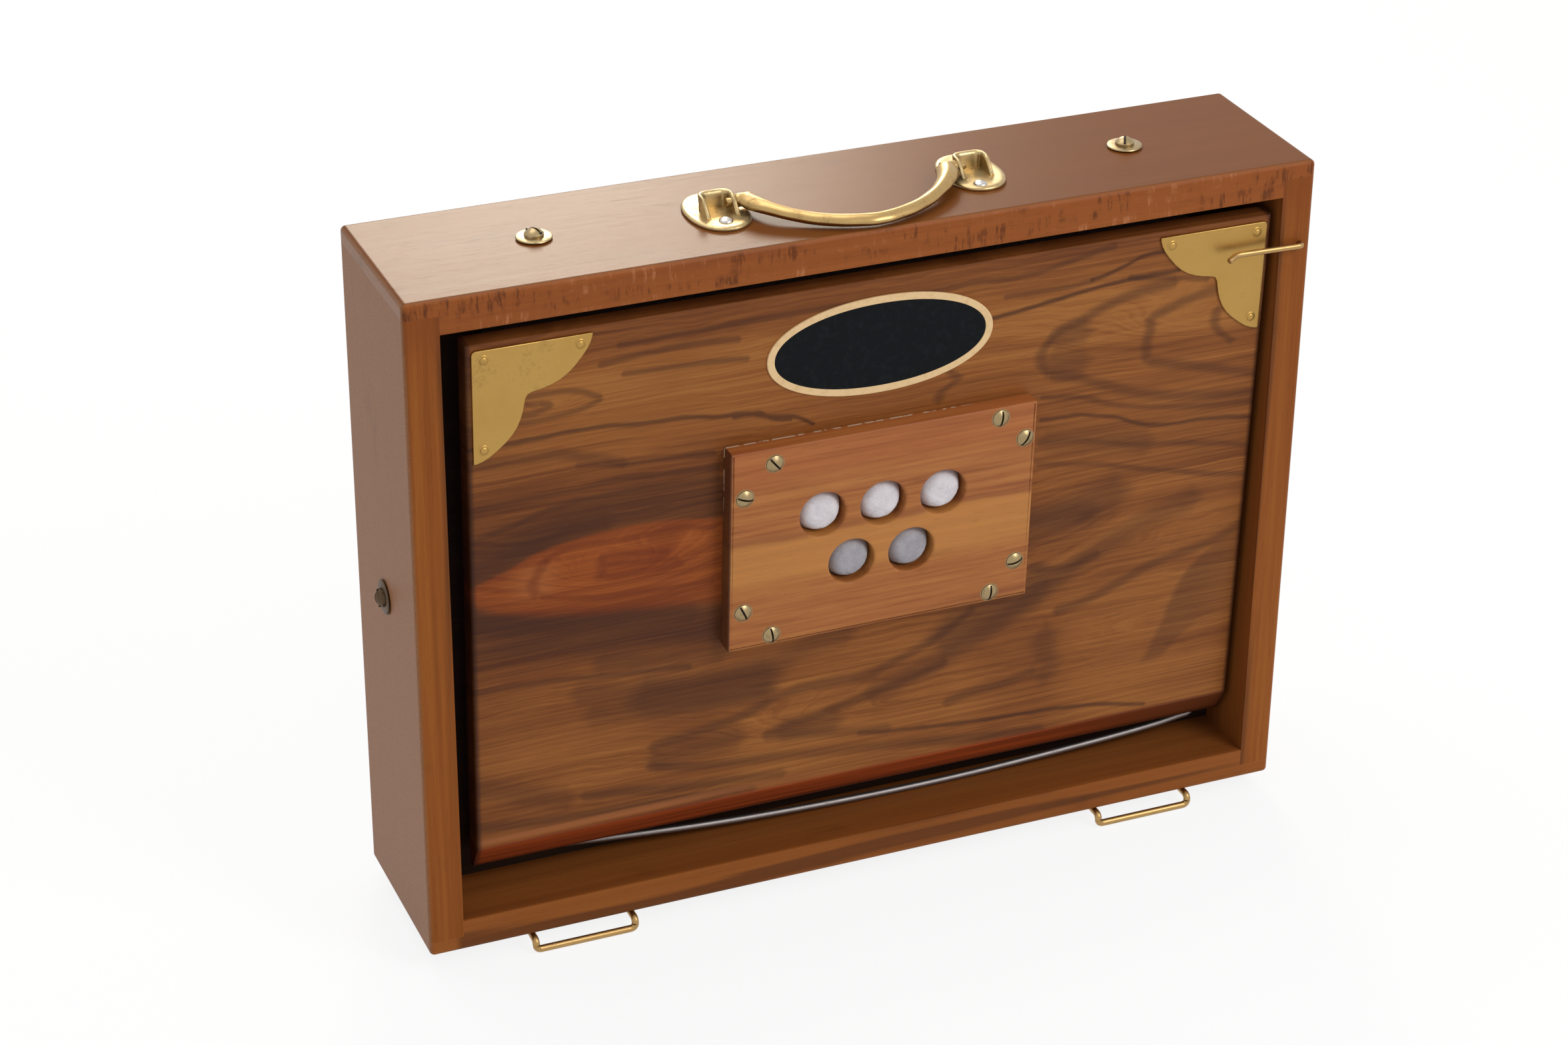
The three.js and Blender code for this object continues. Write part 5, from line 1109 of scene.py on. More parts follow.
class SHRUTIBOX_OT_stage(bpy.types.Operator):
    """Makes the camera, the pale floor and the soft lamps"""

    bl_idname = "shruti_box.stage"
    bl_label = "Stage"

    def execute(self, context):
        scene = context.scene
        scene.view_settings.view_transform = "Standard"
        forward = Vector((math.sin(CAMERA_YAW) * math.cos(CAMERA_PITCH),
                          math.cos(CAMERA_YAW) * math.cos(CAMERA_PITCH), -math.sin(CAMERA_PITCH)))
        right = Vector((math.cos(CAMERA_YAW), -math.sin(CAMERA_YAW), 0))
        down = forward.cross(right)
        side = math.cos(CAMERA_ROLL) * right + math.sin(CAMERA_ROLL) * down
        below = math.cos(CAMERA_ROLL) * down - math.sin(CAMERA_ROLL) * right
        camera = bpy.data.cameras.new("camera")
        camera.sensor_width = SENSOR_WIDTH
        camera.lens = FOCAL_PIXELS / PHOTO_WIDTH * SENSOR_WIDTH
        camera.clip_start = 0.05
        camera.clip_end = 60
        holder = bpy.data.objects.new("camera", camera)
        turn = Matrix((side, -below, -forward)).transposed().to_4x4()
        place = Vector(CAMERA_PLACE) + Vector((0, 0, UNDERSIDE * MM))
        holder.matrix_world = Matrix.Translation(place) @ turn
        scene.collection.objects.link(holder)
        scene.camera = holder

        ring = oval(FLOOR_RADIUS, FLOOR_RADIUS)
        ring = np.column_stack([ring, np.zeros(len(ring))])
        mesh = bpy.data.meshes.new("floor")
        mesh.from_pydata(ring.tolist(), [], [list(range(len(ring)))])
        floor = bpy.data.objects.new("floor", mesh)
        scene.collection.objects.link(floor)
        mesh.materials.append(self.floor_material())
        self.make_world(scene)
        area_lamp("key", (0.9, -1.5, 1.5), (0, 0, 0.15), 1.0, 17)
        area_lamp("top", (-0.2, 0.5, 1.7), (0, 0, 0.2), 1.2, 9)
        area_lamp("behind", (0.72, 2.7, 1.55), (-0.1, 0, 0.3), 0.9, 37, (1.0, 0.92, 0.76))
        return {"FINISHED"}

    def floor_material(self):
        """Matt white, lifted towards white only for what looks straight at it or mirrors it."""
        material, graph, place, shader = new_material("floor_white")
        cloud = graph.noise(place, scale=3.0, detail=2)
        tone = graph.mix(cloud, (0.86, 0.86, 0.86, 1), (0.88, 0.88, 0.88, 1))
        finish_shader(graph, shader, tone, 0.9, Specular_IOR_Level=0.0)
        glow = graph.node("Emission", {"Color": (1, 1, 1, 1), "Strength": 1.0})
        seen = self.seen(graph)
        mixed = graph.node("MixShader", {0: graph.math("MULTIPLY", seen, 0.86), 1: shader.outputs[0],
                                         2: glow.outputs[0]})
        output = graph.tree.nodes["Material Output"]
        graph.feed(output.inputs["Surface"], mixed.outputs[0])
        return material

    def seen(self, graph):
        path = graph.node("LightPath").outputs
        straight = graph.math("MAXIMUM", path["Is Camera Ray"], path["Is Glossy Ray"])
        return graph.math("MAXIMUM", straight, path["Is Transmission Ray"])

    def make_world(self, scene):
        world = bpy.data.worlds.new("studio")
        world.use_nodes = True
        graph = Graph(world.node_tree)
        background = world.node_tree.nodes["Background"]
        background.inputs["Color"].default_value = (1, 1, 1, 1)
        graph.feed(background.inputs["Strength"], graph.math("MULTIPLY_ADD", self.seen(graph), 0.4, 0.6))
        scene.world = world


class SHRUTIBOX_OT_case_boards(bpy.types.Operator):
    """Makes the four boards of the case, flush at their rabbets and rounded along the case's outer edges"""

    bl_idname = "shruti_box.case_boards"
    bl_label = "Case boards"

    arris = 2.2
    steps = arris * np.array([1.2, 1.0, 0.75, 0.5, 0.25])

    def execute(self, context):
        for name in ("top", "bottom", "left", "right"):
            make_piece("case_board_" + name, self.board(name), "case",
                       finishes["case_" + name], 30.0, ["case_" + name])
        return {"FINISHED"}

    def outline(self, name):
        """Anticlockwise in x and z, with lines at the arris steps next to the outer corners."""
        outer = CASE_HIGH[0]
        lip = 7.0
        if name in ("left", "right"):
            low, high = UNDERSIDE + lip, CASE_TOP - lip
            points = np.array([(INSIDE_HALF, low), (outer, low), (outer, high), (INSIDE_HALF, high)])
            return points if name == "right" else points[::-1] * [-1, 1]
        corner = [(outer, CASE_TOP - step) for step in self.steps] + [(outer, CASE_TOP)]
        corner += [(outer - step, CASE_TOP) for step in self.steps[::-1]]
        half = np.array([(INSIDE_HALF, CASE_TOP - BOARD), (INSIDE_HALF, CASE_TOP - lip),
                         (outer, CASE_TOP - lip), *corner])
        points = np.concatenate([half, half[::-1] * [-1, 1]])
        if name == "bottom":
            points = points[::-1] * [1, -1] + [0, UNDERSIDE + CASE_TOP]
        return points

    def board(self, name):
        """An outline carried through the case's depth. Each point near the case's outer edges moves to the
        round: the nearest point of a box smaller by the arris, plus the arris along the way there."""
        front = [(step, CASE_FRONT) for step in self.steps] + [(0, CASE_FRONT)]
        front += [(0, CASE_FRONT + step) for step in self.steps[::-1]]
        profile = front + [(inset, CASE_FRONT + CASE_BACK - y) for inset, y in front[::-1]]
        outline = self.outline(name)
        rings = []
        for inset, y in profile:
            ring = np.clip(outline, (inset - CASE_HIGH[0], UNDERSIDE + inset),
                           (CASE_HIGH[0] - inset, CASE_TOP - inset))
            rings.append(np.stack([ring[:, 0], np.full(len(ring), y), ring[:, 1]], 1))
        points = np.concatenate(rings)
        faces = quads(len(profile), len(outline), round_cols=True)
        # The end faces leave out points that the inset has brought together.
        kept = np.flatnonzero([True, *(np.linalg.norm(np.diff(rings[0], axis=0), axis=1) > 1e-6)])
        for first in (0, (len(profile) - 1) * len(outline)):
            loop = [Vector(point) for point in points[kept + first]]
            faces += (kept + first)[np.array(tessellate_polygon([loop]))].tolist()
        low = np.array([-CASE_HIGH[0], CASE_FRONT, UNDERSIDE]) + self.arris
        high = np.array([CASE_HIGH[0], CASE_BACK, CASE_TOP]) - self.arris
        core = np.clip(points, low, high)
        away = points - core
        reach = np.linalg.norm(away, axis=1, keepdims=True)
        outside = (np.abs(away) > 1e-6).sum(1, keepdims=True) > 1
        rounded = core + away / np.maximum(reach, 1e-9) * self.arris
        return np.where(outside, rounded, points), faces


class SHRUTIBOX_OT_case_screws(bpy.types.Operator):
    """Makes the four slotted screws with flat washers that hold the wind chest"""

    bl_idname = "shruti_box.case_screws"
    bl_label = "Case screws"

    washer = 1.0
    head_radius = 4.1
    depth_of_washer = 3.6

    def execute(self, context):
        washer_profile = [(0, 0), (6.9, 0), (7.4, 0.15), (7.6, 0.5), (7.4, 0.85), (6.9, self.washer),
                          (3, self.washer), (0, self.washer)]
        places = (
            ("top_screw_left", (0, 0, 1), 36), ("top_screw_right", (0, 0, 1), -26),
            ("side_screw_left", (-1, 0, 0), 20), ("side_screw_right", (1, 0, 0), 55),
        )
        for node, out, spin in places:
            low, high = edges_of(node)
            out = np.array(out, float)
            axis = int(np.argmax(np.abs(out)))
            origin = (low + high) / 2
            outer = high if out[axis] > 0 else low
            origin[axis] = outer[axis] - out[axis] * self.depth_of_washer
            turn = math.radians(spin)
            flat = np.roll(np.array([1.0, 0, 0]), axis + 1)
            other = np.cross(out, flat)
            across = math.cos(turn) * flat + math.sin(turn) * other
            head = lifted(slotted_head(self.head_radius, 2.3, 1.0, 1.3, 1.0), self.washer)
            shape = merged(turned(washer_profile, 48), head)
            key = "screw" if axis == 2 else "side_screw"
            make_piece(node + "_head", placed(shape, origin, across, out), "case", finishes[key],
                       replaces=[node])
            dirt_and_shade = lifted(slot_dirt_and_shade(self.head_radius, 0.9, 2.1), self.washer)
            make_piece(node + "_slot", placed(dirt_and_shade, origin, across, out), "case", finishes["dirt_and_shade"])
        return {"FINISHED"}


class SHRUTIBOX_OT_valve_plate(bpy.types.Operator):
    """Makes the valve plate with its bored holes, its screws and the suede flap behind it"""

    bl_idname = "shruti_box.valve_plate"
    bl_label = "Valve plate"

    def execute(self, context):
        settings = context.scene.shruti_box
        middle_u, middle_v = VALVE_PLATE_MIDDLE
        outline = rounded_rectangle(*VALVE_PLATE_HALF, 0.8, 3)
        hole = oval(VALVE_HOLE_RADIUS, VALVE_HOLE_RADIUS, 64, clockwise=True)
        holes = [hole + [u - middle_u, v - middle_v] for u, v in VALVE_HOLES]
        shape = plate([outline, *holes], round_edge(VALVE_PLATE_FACE, 1.0, 0.3))
        make_piece("valve_plate_board", placed_on_panel(shape, middle_u, middle_v), "pump",
                   finishes["valve"], replaces=["valve_plate"])
        radius = settings.screw_head / MM
        sink = [(0, -0.2), (4.35, -0.2), (4.35, 0.04), (4.1, 0.10), (3.95, 0.05), (3.7, 0.03), (0, 0.03)]
        # painted shade: a dark disc under each head shows as a dark ring in the gap round it
        gap = [(0, 0.0), (3.85, 0.0), (3.85, 0.06), (3.3, 0.08), (0, 0.08)]
        kinds = (
            ("heads", slotted_head(radius, 1.6, 0.85, 1.35, 0.4), "screw"),
            ("slots", slot_dirt_and_shade(radius, 0.80, 0.85), "dirt_and_shade"),
            ("sinks", turned(sink, 36), "raw"),
            ("gap_shades", turned(gap, 36), "dirt_and_shade"),
        )
        for kind, shape, key in kinds:
            shapes = [placed_on_panel(shape, u, v, VALVE_PLATE_FACE, spin) for u, v, spin in VALVE_SCREWS]
            make_piece("valve_plate_screw_" + kind, merged(*shapes), "pump", finishes[key])
        self.make_flap(middle_u, middle_v)
        return {"FINISHED"}

    def make_flap(self, middle_u, middle_v):
        """A suede sheet that the plate's back holds flat and that swells into each hole, with a slight
        crinkle there: height = the sum of rise (1 - (r / radius)^5) inside the holes."""
        rise, radius, thickness = 7.3, 10.4, 2.0
        half_width, half_height = 51, 28.7
        u, v = np.meshgrid(np.linspace(-half_width, half_width, 239),
                           np.linspace(-half_height, half_height, 137), indexing="ij")
        front = np.zeros_like(u)
        for hole_u, hole_v in VALVE_HOLES:
            away = np.hypot(u - hole_u + middle_u, v - hole_v + middle_v) / radius
            front += rise * np.maximum(1 - away**5, 0)
        front += 0.12 * np.sin(u * 1.3 + 2 * np.sin(v * 0.7)) * np.sin(v * 1.1) * (front > 0)
        sheet = two_sheets(u, v, front, -thickness)
        make_piece("pump_flap_suede", placed_on_panel(sheet, middle_u, middle_v), "pump",
                   finishes["flap"], replaces=["pump_valve_flap"])


class SHRUTIBOX_OT_panel_trim(bpy.types.Operator):
    """Makes the brass corners with their tacks, and the bare oval badge"""

    bl_idname = "shruti_box.panel_trim"
    bl_label = "Panel trim"

    def corner_outline(self):
        """From the outer corner along the top edge, down one lobe to the cusp and up the other."""
        far = [(2, 0), (51, 0), (50.9, 1.6), (50.2, 3.9), (48.9, 6.6), (46.4, 10.1), (43.2, 13.9),
               (40.4, 16.5), (37.2, 18.7), (33.6, 20.3), (30.2, 21.3), (27.2, 21.9), (24.9, 22.3),
               (23.3, 23.0)]
        points = far + [(down, along) for along, down in far[-2::-1]]
        arris = [(1.0, 0.25), (0.3, 0.9)]
        return np.array(points[:-1] + [(0, 2)] + arris[::-1])

    def execute(self, context):
        outline = self.corner_outline()
        tacks = ((5.0, 4.4), (45.6, 4.2), (4.4, 44.8))
        face = 1.1
        dome = [(0, -0.2), (2.1, -0.2), (2.35, 0.05), (2.1, 0.25), (1.75, 0.3), (1.6, 0.62), (1.2, 0.88),
                (0.6, 1.03), (0, 1.08)]
        for side, name in SIDES:
            flat = np.column_stack([side * (PANEL_EDGE - outline[:, 0]), PANEL_TOP - outline[:, 1]])
            area = np.sum(flat[:, 0] * np.roll(flat[:, 1], -1) - flat[:, 1] * np.roll(flat[:, 0], -1))
            flat = flat if area > 0 else flat[::-1]
            shape = plate([flat], round_edge(face, 0.45, 0.3, 3))
            make_piece("brass_corner_plate_" + name, placed_on_panel(shape, 0, 0), "pump",
                       finishes["brass"], replaces=["brass_corner_" + name])
            heads = [placed_on_panel(turned(dome, 20), side * (PANEL_EDGE - along), PANEL_TOP - down, face)
                     for along, down in tacks]
            make_piece("corner_tacks_" + name, merged(*heads), "pump", finishes["brass"])
        self.make_badge(context.scene.shruti_box)
        return {"FINISHED"}

    def make_badge(self, settings):
        half_width = settings.badge_width / MM / 2
        half_height = settings.badge_height / MM / 2
        place = (*BADGE_PLACE, 0.02)
        rim, count, power = 3.3, 160, 2.08
        outer = oval(half_width, half_height, count, power)
        inner = oval(half_width - rim, half_height - rim, count, power, clockwise=True)
        ring = plate([outer, inner], round_edge(0.75, 0.25, 0.0, 3))
        make_piece("badge_rim", placed_on_panel(ring, *place), "pump", finishes["badge_rim"])
        field = plate([inner[::-1] * 0.999], round_edge(0.6, 0.1, 0.0, 2))
        make_piece("badge_field", placed_on_panel(field, *place), "pump",
                   finishes["badge_black"])


class SHRUTIBOX_OT_wires(bpy.types.Operator):
    """Makes the latch, the wire feet with their straps, and the springs"""

    bl_idname = "shruti_box.wires"
    bl_label = "Wires"

    runner_gap = 0.3

    def execute(self, context):
        self.make_latch()
        wire = context.scene.shruti_box.wire / MM
        for _, name in SIDES:
            self.make_foot(name, wire)
            self.make_strap(name, wire)
        self.make_pump_spring()
        for side, name in SIDES:
            self.make_reservoir_spring(side, name)
        return {"FINISHED"}

    def make_latch(self):
        z = 267.6 + UNDERSIDE
        corners = [(197, CASE_FRONT + 12, z), (197, CASE_FRONT - 2.9, z), (166, CASE_FRONT - 1.6, z),
                   (161.5, CASE_FRONT - 3.85, z - 1.1)]
        path = bent(corners, 1.9, 10)
        make_piece("latch_rod", tube(path, 1.3, 20, (0, 0, 1), False), "latch", finishes["wire"],
                   replaces=["latch_wire"])

    def make_foot(self, name, wire):
        low, high = edges_of("wire_foot_" + name)
        near, far = low[0] + wire, high[0] - wire
        front, back = CASE_FRONT - 2, CASE_BACK + 2
        runner = UNDERSIDE - self.runner_gap - wire
        bar = wire + 0.1
        corners = [(near, 0.3, runner), (near, back, runner), (near, back, bar), (far, back, bar),
                   (far, back, runner), (far, front, runner), (far, front, bar), (near, front, bar),
                   (near, front, runner), (near, -0.3, runner)]
        path = bent(corners, 2.6, 10)
        make_piece("foot_rod_" + name, tube(path, wire, 18, (1, 0, 0), False), "case",
                   finishes["wire"], replaces=["wire_foot_" + name])

    def make_strap(self, name, wire):
        """A band of brass carried along a line that arches under each runner, and its two screws. The arch
        is a half circle about the wire, softened by a running mean."""
        band, half_length, runner_away, screw_away = 0.9, 33, 23.1, 29.3
        low, high = edges_of("foot_strap_" + name)
        middle = (low[0] + high[0]) / 2
        runner = UNDERSIDE - self.runner_gap - wire
        x = np.linspace(-half_length, half_length, 221)
        away = np.minimum(np.abs(x - runner_away), np.abs(x + runner_away))
        reach = wire + 0.35
        saddle = np.sqrt(np.maximum(reach**2 - away**2, 0))
        flat = UNDERSIDE - 0.02
        upper = np.where(away < reach, np.minimum(runner - saddle, flat), flat)
        kernel = np.ones(5) / 5
        upper = np.concatenate([upper[:2], np.convolve(upper, kernel, "valid"), upper[-2:]])
        slope = np.gradient(upper, x)
        normal = unit(np.stack([slope, -np.ones_like(slope)], 1))
        lower = np.stack([x, upper], 1) + normal * band
        y = np.array([-6.0, -5.7, 5.7, 6.0])
        inset = np.array([0.15, 0.0, 0.0, 0.15])
        top = np.stack(np.broadcast_arrays(x[:, None], y, upper[:, None] - inset), -1)
        under = np.stack(np.broadcast_arrays(lower[:, :1], y, lower[:, 1:] + inset), -1)
        rings = np.concatenate([top, under[:, ::-1]], 1)
        rings[..., 0] += middle
        head = slotted_head(2.6, 0.9, 0.7, 0.7)
        screws = [placed(head, (middle + side * screw_away, 0, UNDERSIDE - band),
                         (math.cos(side), math.sin(side), 0), (0, 0, -1)) for side in (-1, 1)]
        make_piece("foot_band_" + name, closed_flat(rings), "case", finishes["brass"],
                   replaces=["foot_strap_" + name])
        make_piece("foot_band_screws_" + name, merged(*screws), "case", finishes["screw"])

    def make_pump_spring(self):
        """One wire: a bow over the floor of the case, height = 11 ((x - 30) / half)^2, and an arm up behind
        the panel at each end."""
        half, radius = 173.0, 1.6
        floor = UNDERSIDE + 15.3 + radius
        behind = radius + 0.6
        bow_y = panel_back(UNDERSIDE + BOARD) + behind
        tip = HINGE[2] + 108
        middle = (HINGE[2] + tip) / 2
        middle_y = (panel_back(middle) - PANEL_THICKNESS) / 2
        x = np.array([-1, -0.95, -0.6, -0.25, 0.17, 0.55, 0.95, 1]) * half
        bow = np.stack([x, np.full(8, bow_y), floor + 11 * ((x - 30) / half) ** 2], 1)
        bow[[0, -1], 2] += 9
        left, right = [[(side * half, panel_back(tip) + behind, tip), (side * half, middle_y, middle)]
                       for side in (-1, 1)]
        path = smoothed([*left, *bow.tolist(), *right[::-1]], 260)
        make_piece("pump_spring_wire", tube(path, radius, 14), None, finishes["steel"],
                   replaces=["pump_spring"],
                   blend=("case", "pump", (0, -20, HINGE[2] + 8), (0, -20, tip)))

    def make_reservoir_spring(self, side, name):
        rest = edges_of("reservoir_panel")[1][1] + 1.2
        up = 124 + UNDERSIDE
        corners = [(side * 192.5, 37, up), (side * 180.5, 37, up), (side * 153, rest, up - 28),
                   (side * 146, rest, up - 28)]
        path = bent(corners, 4.0, 10)
        make_piece("reservoir_wire_" + name, tube(path, 0.9, 14, (0, 1, 0)), None,
                   finishes["steel"], replaces=["reservoir_spring_" + name],
                   blend=("case", "reservoir", (side * 182, 33, up), (side * 154, 33, up)))


def pleated(low, high, near, fold):
    """A leather gusset round a rounded rectangle, between two corners of a box. At a share t of its depth
    it is drawn in by fold |sin(2 pi t)|^0.8, less near the hinge at its foot, and near gives the depth of
    its front edge at a height."""
    folds, skin, radius, low_radius = 2, 1.2, 14.0, 1.2
    corner_steps, side_steps = 8, 24
    half_width = (high[0] - low[0]) / 2
    bottom, height = low[2], high[2] - low[2]
    t = np.linspace(0, 1, 12 * folds + 1)
    drawn = np.abs(np.sin(math.pi * folds * t)) ** 0.8
    section = np.concatenate([drawn * fold, (drawn * fold + skin)[::-1]])
    depth = np.concatenate([t, t[::-1]])
    step = np.linspace(0, 1, side_steps + 2)[1:-1, None]
    loops = []
    for inset, share in zip(section, depth):
        half_u, half_v = half_width - inset, (height - inset) / 2
        corners = rounded_rectangle(half_u, half_v, max(radius - inset, low_radius), corner_steps - 1,
                                    low_radius).reshape(4, corner_steps, 2)
        sides = corners[:, -1:] * (1 - step) + np.roll(corners, -1, 0)[:, :1] * step
        ring = np.concatenate([corners, sides], 1).reshape(-1, 2)
        z = ring[:, 1] + bottom + half_v
        kept = 1 - eased((z - bottom) / 30)
        x = np.sign(ring[:, 0]) * np.minimum(np.abs(ring[:, 0]) + inset * kept, half_width)
        wave = 0.5 * np.sin(x * 0.11 + z * 0.07) * math.sin(math.pi * share)
        y = near(z) * (1 - share) + high[1] * share + wave
        loops.append(np.stack([x, y, z], 1))
    points = np.stack(loops, 1)
    rows, cols = points.shape[:2]
    return points.reshape(-1, 3), quads(rows, cols, round_rows=True, round_cols=True)


class SHRUTIBOX_OT_bellows(bpy.types.Operator):
    """Makes the two leather bellows and the inner flap of the wind chest"""

    bl_idname = "shruti_box.bellows"
    bl_label = "Bellows"

    def execute(self, context):
        low, high = edges_of("pump_bellows")
        shape = pleated(low, high, self.behind_pump_panel, 19.0)
        make_piece("pump_gusset", shape, None, finishes["bellows"], 60.0,
                   ["pump_bellows"], ("pump", "case", (0, low[1] + 1.5, 0), (0, high[1], 0)))
        low, high = edges_of("reservoir_bellows")
        shape = pleated(low, high, self.behind_reed_board, 15.0)
        make_piece("reservoir_gusset", shape, None, finishes["bellows"], 60.0,
                   ["reservoir_bellows"], ("case", "reservoir", (0, low[1], 0), (0, high[1], 0)))
        self.make_chest_flap()
        return {"FINISHED"}

    def behind_pump_panel(self, z):
        return panel_back(z, 0.3)

    def behind_reed_board(self, z):
        return np.full_like(z, edges_of("reservoir_bellows")[0][1])

    def make_chest_flap(self):
        low, high = edges_of("chest_valve_flap")
        size = (high - low) / 2
        outline = rounded_rectangle(size[0], size[2], 6.0)
        shape = plate([outline], round_edge(high[1] - low[1], 0.5, 0.0, 3))
        middle = (low + high) / 2
        shape = placed(shape, (middle[0], high[1], middle[2]), (1, 0, 0), (0, -1, 0))
        make_piece("chest_flap_suede", shape, "case", finishes["flap"],
                   replaces=["chest_valve_flap"])


class SHRUTIBOX_OT_handle(bpy.types.Operator):
    """Makes the folding handle, its two plates and their screws"""

    bl_idname = "shruti_box.handle"
    bl_label = "Handle"

    middle = 1.5
    pivot_y = -5.0
    pivot_rise = 5.4
    plate_x = 57.3

    def execute(self, context):
        for side, name in SIDES:
            shape = merged(self.leaf(side), self.lug(side))
            make_piece("handle_leaf_" + name, shape, "case", finishes["handle_plate"], 50.0,
                       ["handle_plate_" + name])
            head = turned([(0, -0.3), (2.9, -0.3), (3.1, 0.2), (3.0, 0.8), (2.5, 1.35), (1.5, 1.75),
                           (0.7, 1.9), (0, 1.95)], 28)
            offset, y = (-57.7, -14.8) if side < 0 else (55.2, -17.5)
            centre = (self.middle + offset, y, CASE_TOP + 1.2)
            make_piece("handle_screw_" + name, placed(head, centre, (1, 0, 0), (0, 0, 1)), "case",
                       finishes["silver"])
        make_piece("handle_grip", self.bail(), "handle", finishes["handle"], 55.0,
                   ["handle_bail"])
        return {"FINISHED"}

    def leaf(self, side):
        """An oval plate with a thick rim: rings of a shrinking oval at the profile's heights."""
        outline = oval(13.3, 19.5, 84, 2.2)
        profile = [(9.5, 1.75), (6.5, 1.7), (3.4, 1.75), (1.9, 1.85), (0.9, 1.75), (0.3, 1.4), (0.0, 0.9),
                   (0.15, 0.12)]
        points, faces = plate([outline], profile)
        return points + [self.middle + side * self.plate_x, self.pivot_y + 2.0, CASE_TOP], faces

    def lug(self, side):
        """A wall carried round three sides of the pivot. Its height rises from front to back, and its
        top edge rolls outwards: out = roll t^3 at a share t of its height."""
        front, back = self.pivot_y - 6.5, self.pivot_y + 6.1
        inner, outer = side * 51.3, side * 63.2
        corners = [(outer, front), (outer, back), (inner, back), (inner, front)]
        corners = [(x + self.middle, y, 0) for x, y in corners]
        path = bent(corners, 3.2, 12)
        path = evenly(path if side > 0 else path[::-1], 90)
        outwards = np.cross(unit(np.gradient(path, axis=0)), (0, 0, 1))
        share = np.clip((path[:, 1] - front) / 8.0, 0, 1)
        height = 1.2 + 6.4 * np.sin(share * math.pi / 2) ** 1.3
        wall = np.array([-0.8, -0.8, -0.8, -0.75, -0.45, 0.0, 0.5, 0.8, 0.8, 0.8, 0.8])
        level = np.array([0.0, 0.4, 0.8, 0.93, 0.985, 1.0, 0.985, 0.94, 0.8, 0.4, 0.0])
        thick = np.where((path[:, 1] > back - 2.0), 1.35, 1.0)
        roll = 0.6 * level**3
        across = wall[None] * thick[:, None] + roll[None]
        points = path[:, None] + outwards[:, None] * across[..., None]
        points[..., 2] = CASE_TOP + 0.6 + level[None] * (height[:, None] + 0.5)
        return closed_flat(points)

    def bail(self):
        """A superellipse in plan from pivot to pivot, |x / a|^1.6 + |y / b|^1.6 = 1, with a diamond
        section |u / w|^p + |v / h|^p = 1 that is broad at the necks and slim and ridged in the grip."""
        count, sides = 181, 28
        share = np.linspace(0, 1, count)
        angle = share * math.pi
        cosine, sine = np.cos(angle), np.sin(angle)
        across = -power_of(cosine, 1.25)
        out = np.abs(sine) ** 1.25
        drop = eased((out - 0.2) / 0.7)
        pivot = CASE_TOP + self.pivot_rise
        half_span, reach, grip_rise = 44.9, 33.5, 3.2
        path = np.stack([self.middle + across * half_span, self.pivot_y - out * reach,
                         pivot + (grip_rise - self.pivot_rise) * drop], 1)
        tangent = unit(np.gradient(path, axis=0) * [1, 1, 0])
        aside = np.stack([tangent[:, 1], -tangent[:, 0], np.zeros(count)], 1)
        grip = eased((np.abs(sine) - 0.15) / 0.5)
        half_width = 4.9 + (3.4 - 4.9) * grip + 0.12 * np.sin(share * 71) * grip
        half_height = 3.2 + (2.65 - 3.2) * grip
        close = np.clip(np.minimum(share, 1 - share) / 0.012, 0, 1)
        close = 0.35 + 0.65 * np.sqrt(close * (2 - close))
        turn = np.linspace(0, 2 * math.pi, sides, endpoint=False)
        u = power_of(np.cos(turn), 1.15)
        v = power_of(np.sin(turn), 1.25)
        rings = (path[:, None] + aside[:, None] * (u[None, :, None] * (half_width * close)[:, None, None])
                 + np.array([0, 0, 1.0]) * (v[None, :, None] * (half_height * close)[:, None, None]))
        shapes = [closed_flat(rings)]
        ear = turned([(0, 0), (2.3, 0), (2.8, 0.4), (2.9, 1.2), (2.9, 6.2), (2.7, 7.2), (2.1, 7.8),
                      (1.6, 7.9), (1.6, 11.2), (1.2, 11.6), (0, 11.7)], 28)
        ear_end, ear_length = 50.2, 7.9
        for side in (-1, 1):
            origin = (self.middle + side * (ear_end - ear_length), self.pivot_y, pivot)
            shapes.append(placed(ear, origin, (0, 1, 0), (side, 0, 0)))
        return merged(*shapes)


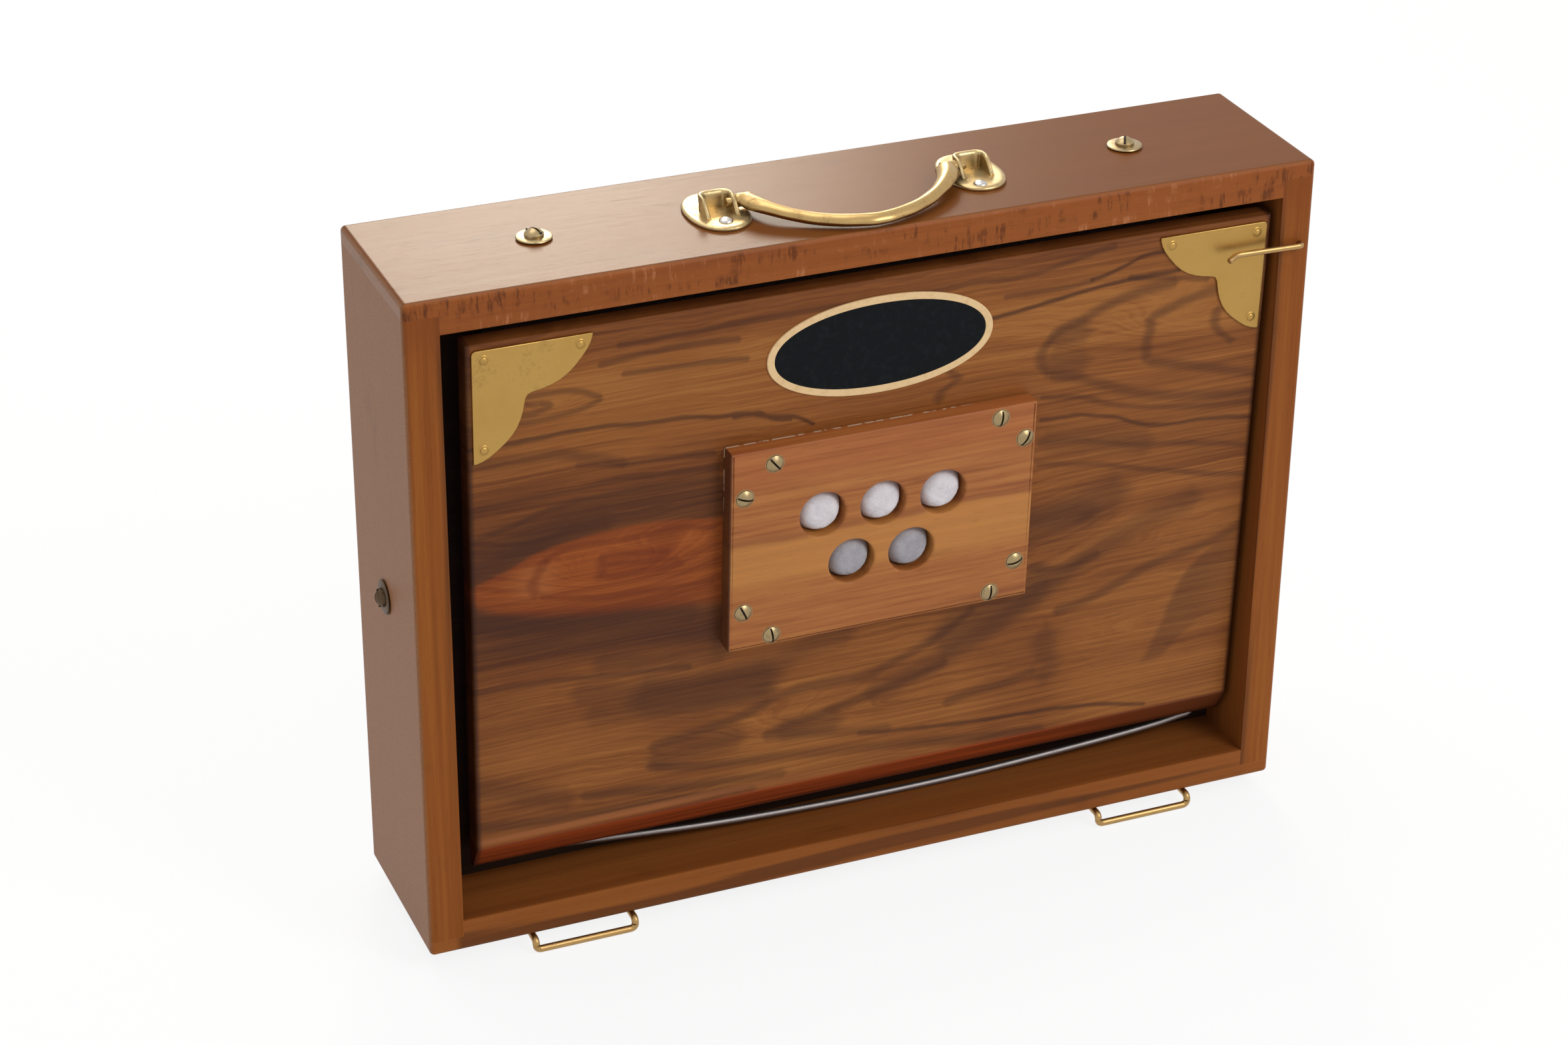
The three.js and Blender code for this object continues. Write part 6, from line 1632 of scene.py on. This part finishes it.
class SHRUTIBOX_OT_tuning(bpy.types.Operator):
    """Makes the slotted pivot screws of the tuning levers"""

    bl_idname = "shruti_box.tuning"
    bl_label = "Tuning levers"

    def execute(self, context):
        heads = []
        head = slotted_head(3.5, 1.3, 0.8, 0.8, rim=0.6, foot=0.2)
        y = edges_of("reed_board")[1][1] - 1.8
        for number in range(1, 14):
            x, _, z = joint_place("lever_swing_%02d" % number)
            turn = number * 1.9
            heads.append(placed(head, (x, y, z), (math.cos(turn), 0, math.sin(turn)), (0, 1, 0)))
        make_piece("lever_pivot_screws", merged(*heads), "case", finishes["screw"])
        return {"FINISHED"}


class SHRUTIBOX_PT_panel(bpy.types.Panel):
    """Lists the steps that make the shruti box"""

    bl_label = "Shruti box"
    bl_idname = "SHRUTIBOX_PT_panel"
    bl_space_type = "VIEW_3D"
    bl_region_type = "UI"
    bl_category = "Shruti box"

    def draw(self, context):
        for key in ShrutiBoxSettings.__annotations__:
            self.layout.prop(context.scene.shruti_box, key)
        for step in STEPS:
            self.layout.operator(step.bl_idname)


STEPS = (
    SHRUTIBOX_OT_finishes,
    SHRUTIBOX_OT_stage,
    SHRUTIBOX_OT_case_boards,
    SHRUTIBOX_OT_case_screws,
    SHRUTIBOX_OT_valve_plate,
    SHRUTIBOX_OT_panel_trim,
    SHRUTIBOX_OT_wires,
    SHRUTIBOX_OT_bellows,
    SHRUTIBOX_OT_handle,
    SHRUTIBOX_OT_tuning,
)
CLASSES = (ShrutiBoxSettings, *STEPS, SHRUTIBOX_PT_panel)


def register():
    for item in CLASSES:
        bpy.utils.register_class(item)
    bpy.types.Scene.shruti_box = PointerProperty(type=ShrutiBoxSettings)


def unregister():
    del bpy.types.Scene.shruti_box
    for item in reversed(CLASSES):
        bpy.utils.unregister_class(item)


def main():
    register()
    for step in STEPS:
        family, name = step.bl_idname.split(".")
        result = getattr(getattr(bpy.ops, family), name)()
        if "FINISHED" not in result:
            raise RuntimeError(step.bl_label + " did not finish")


if __name__ == "__main__":
    main()
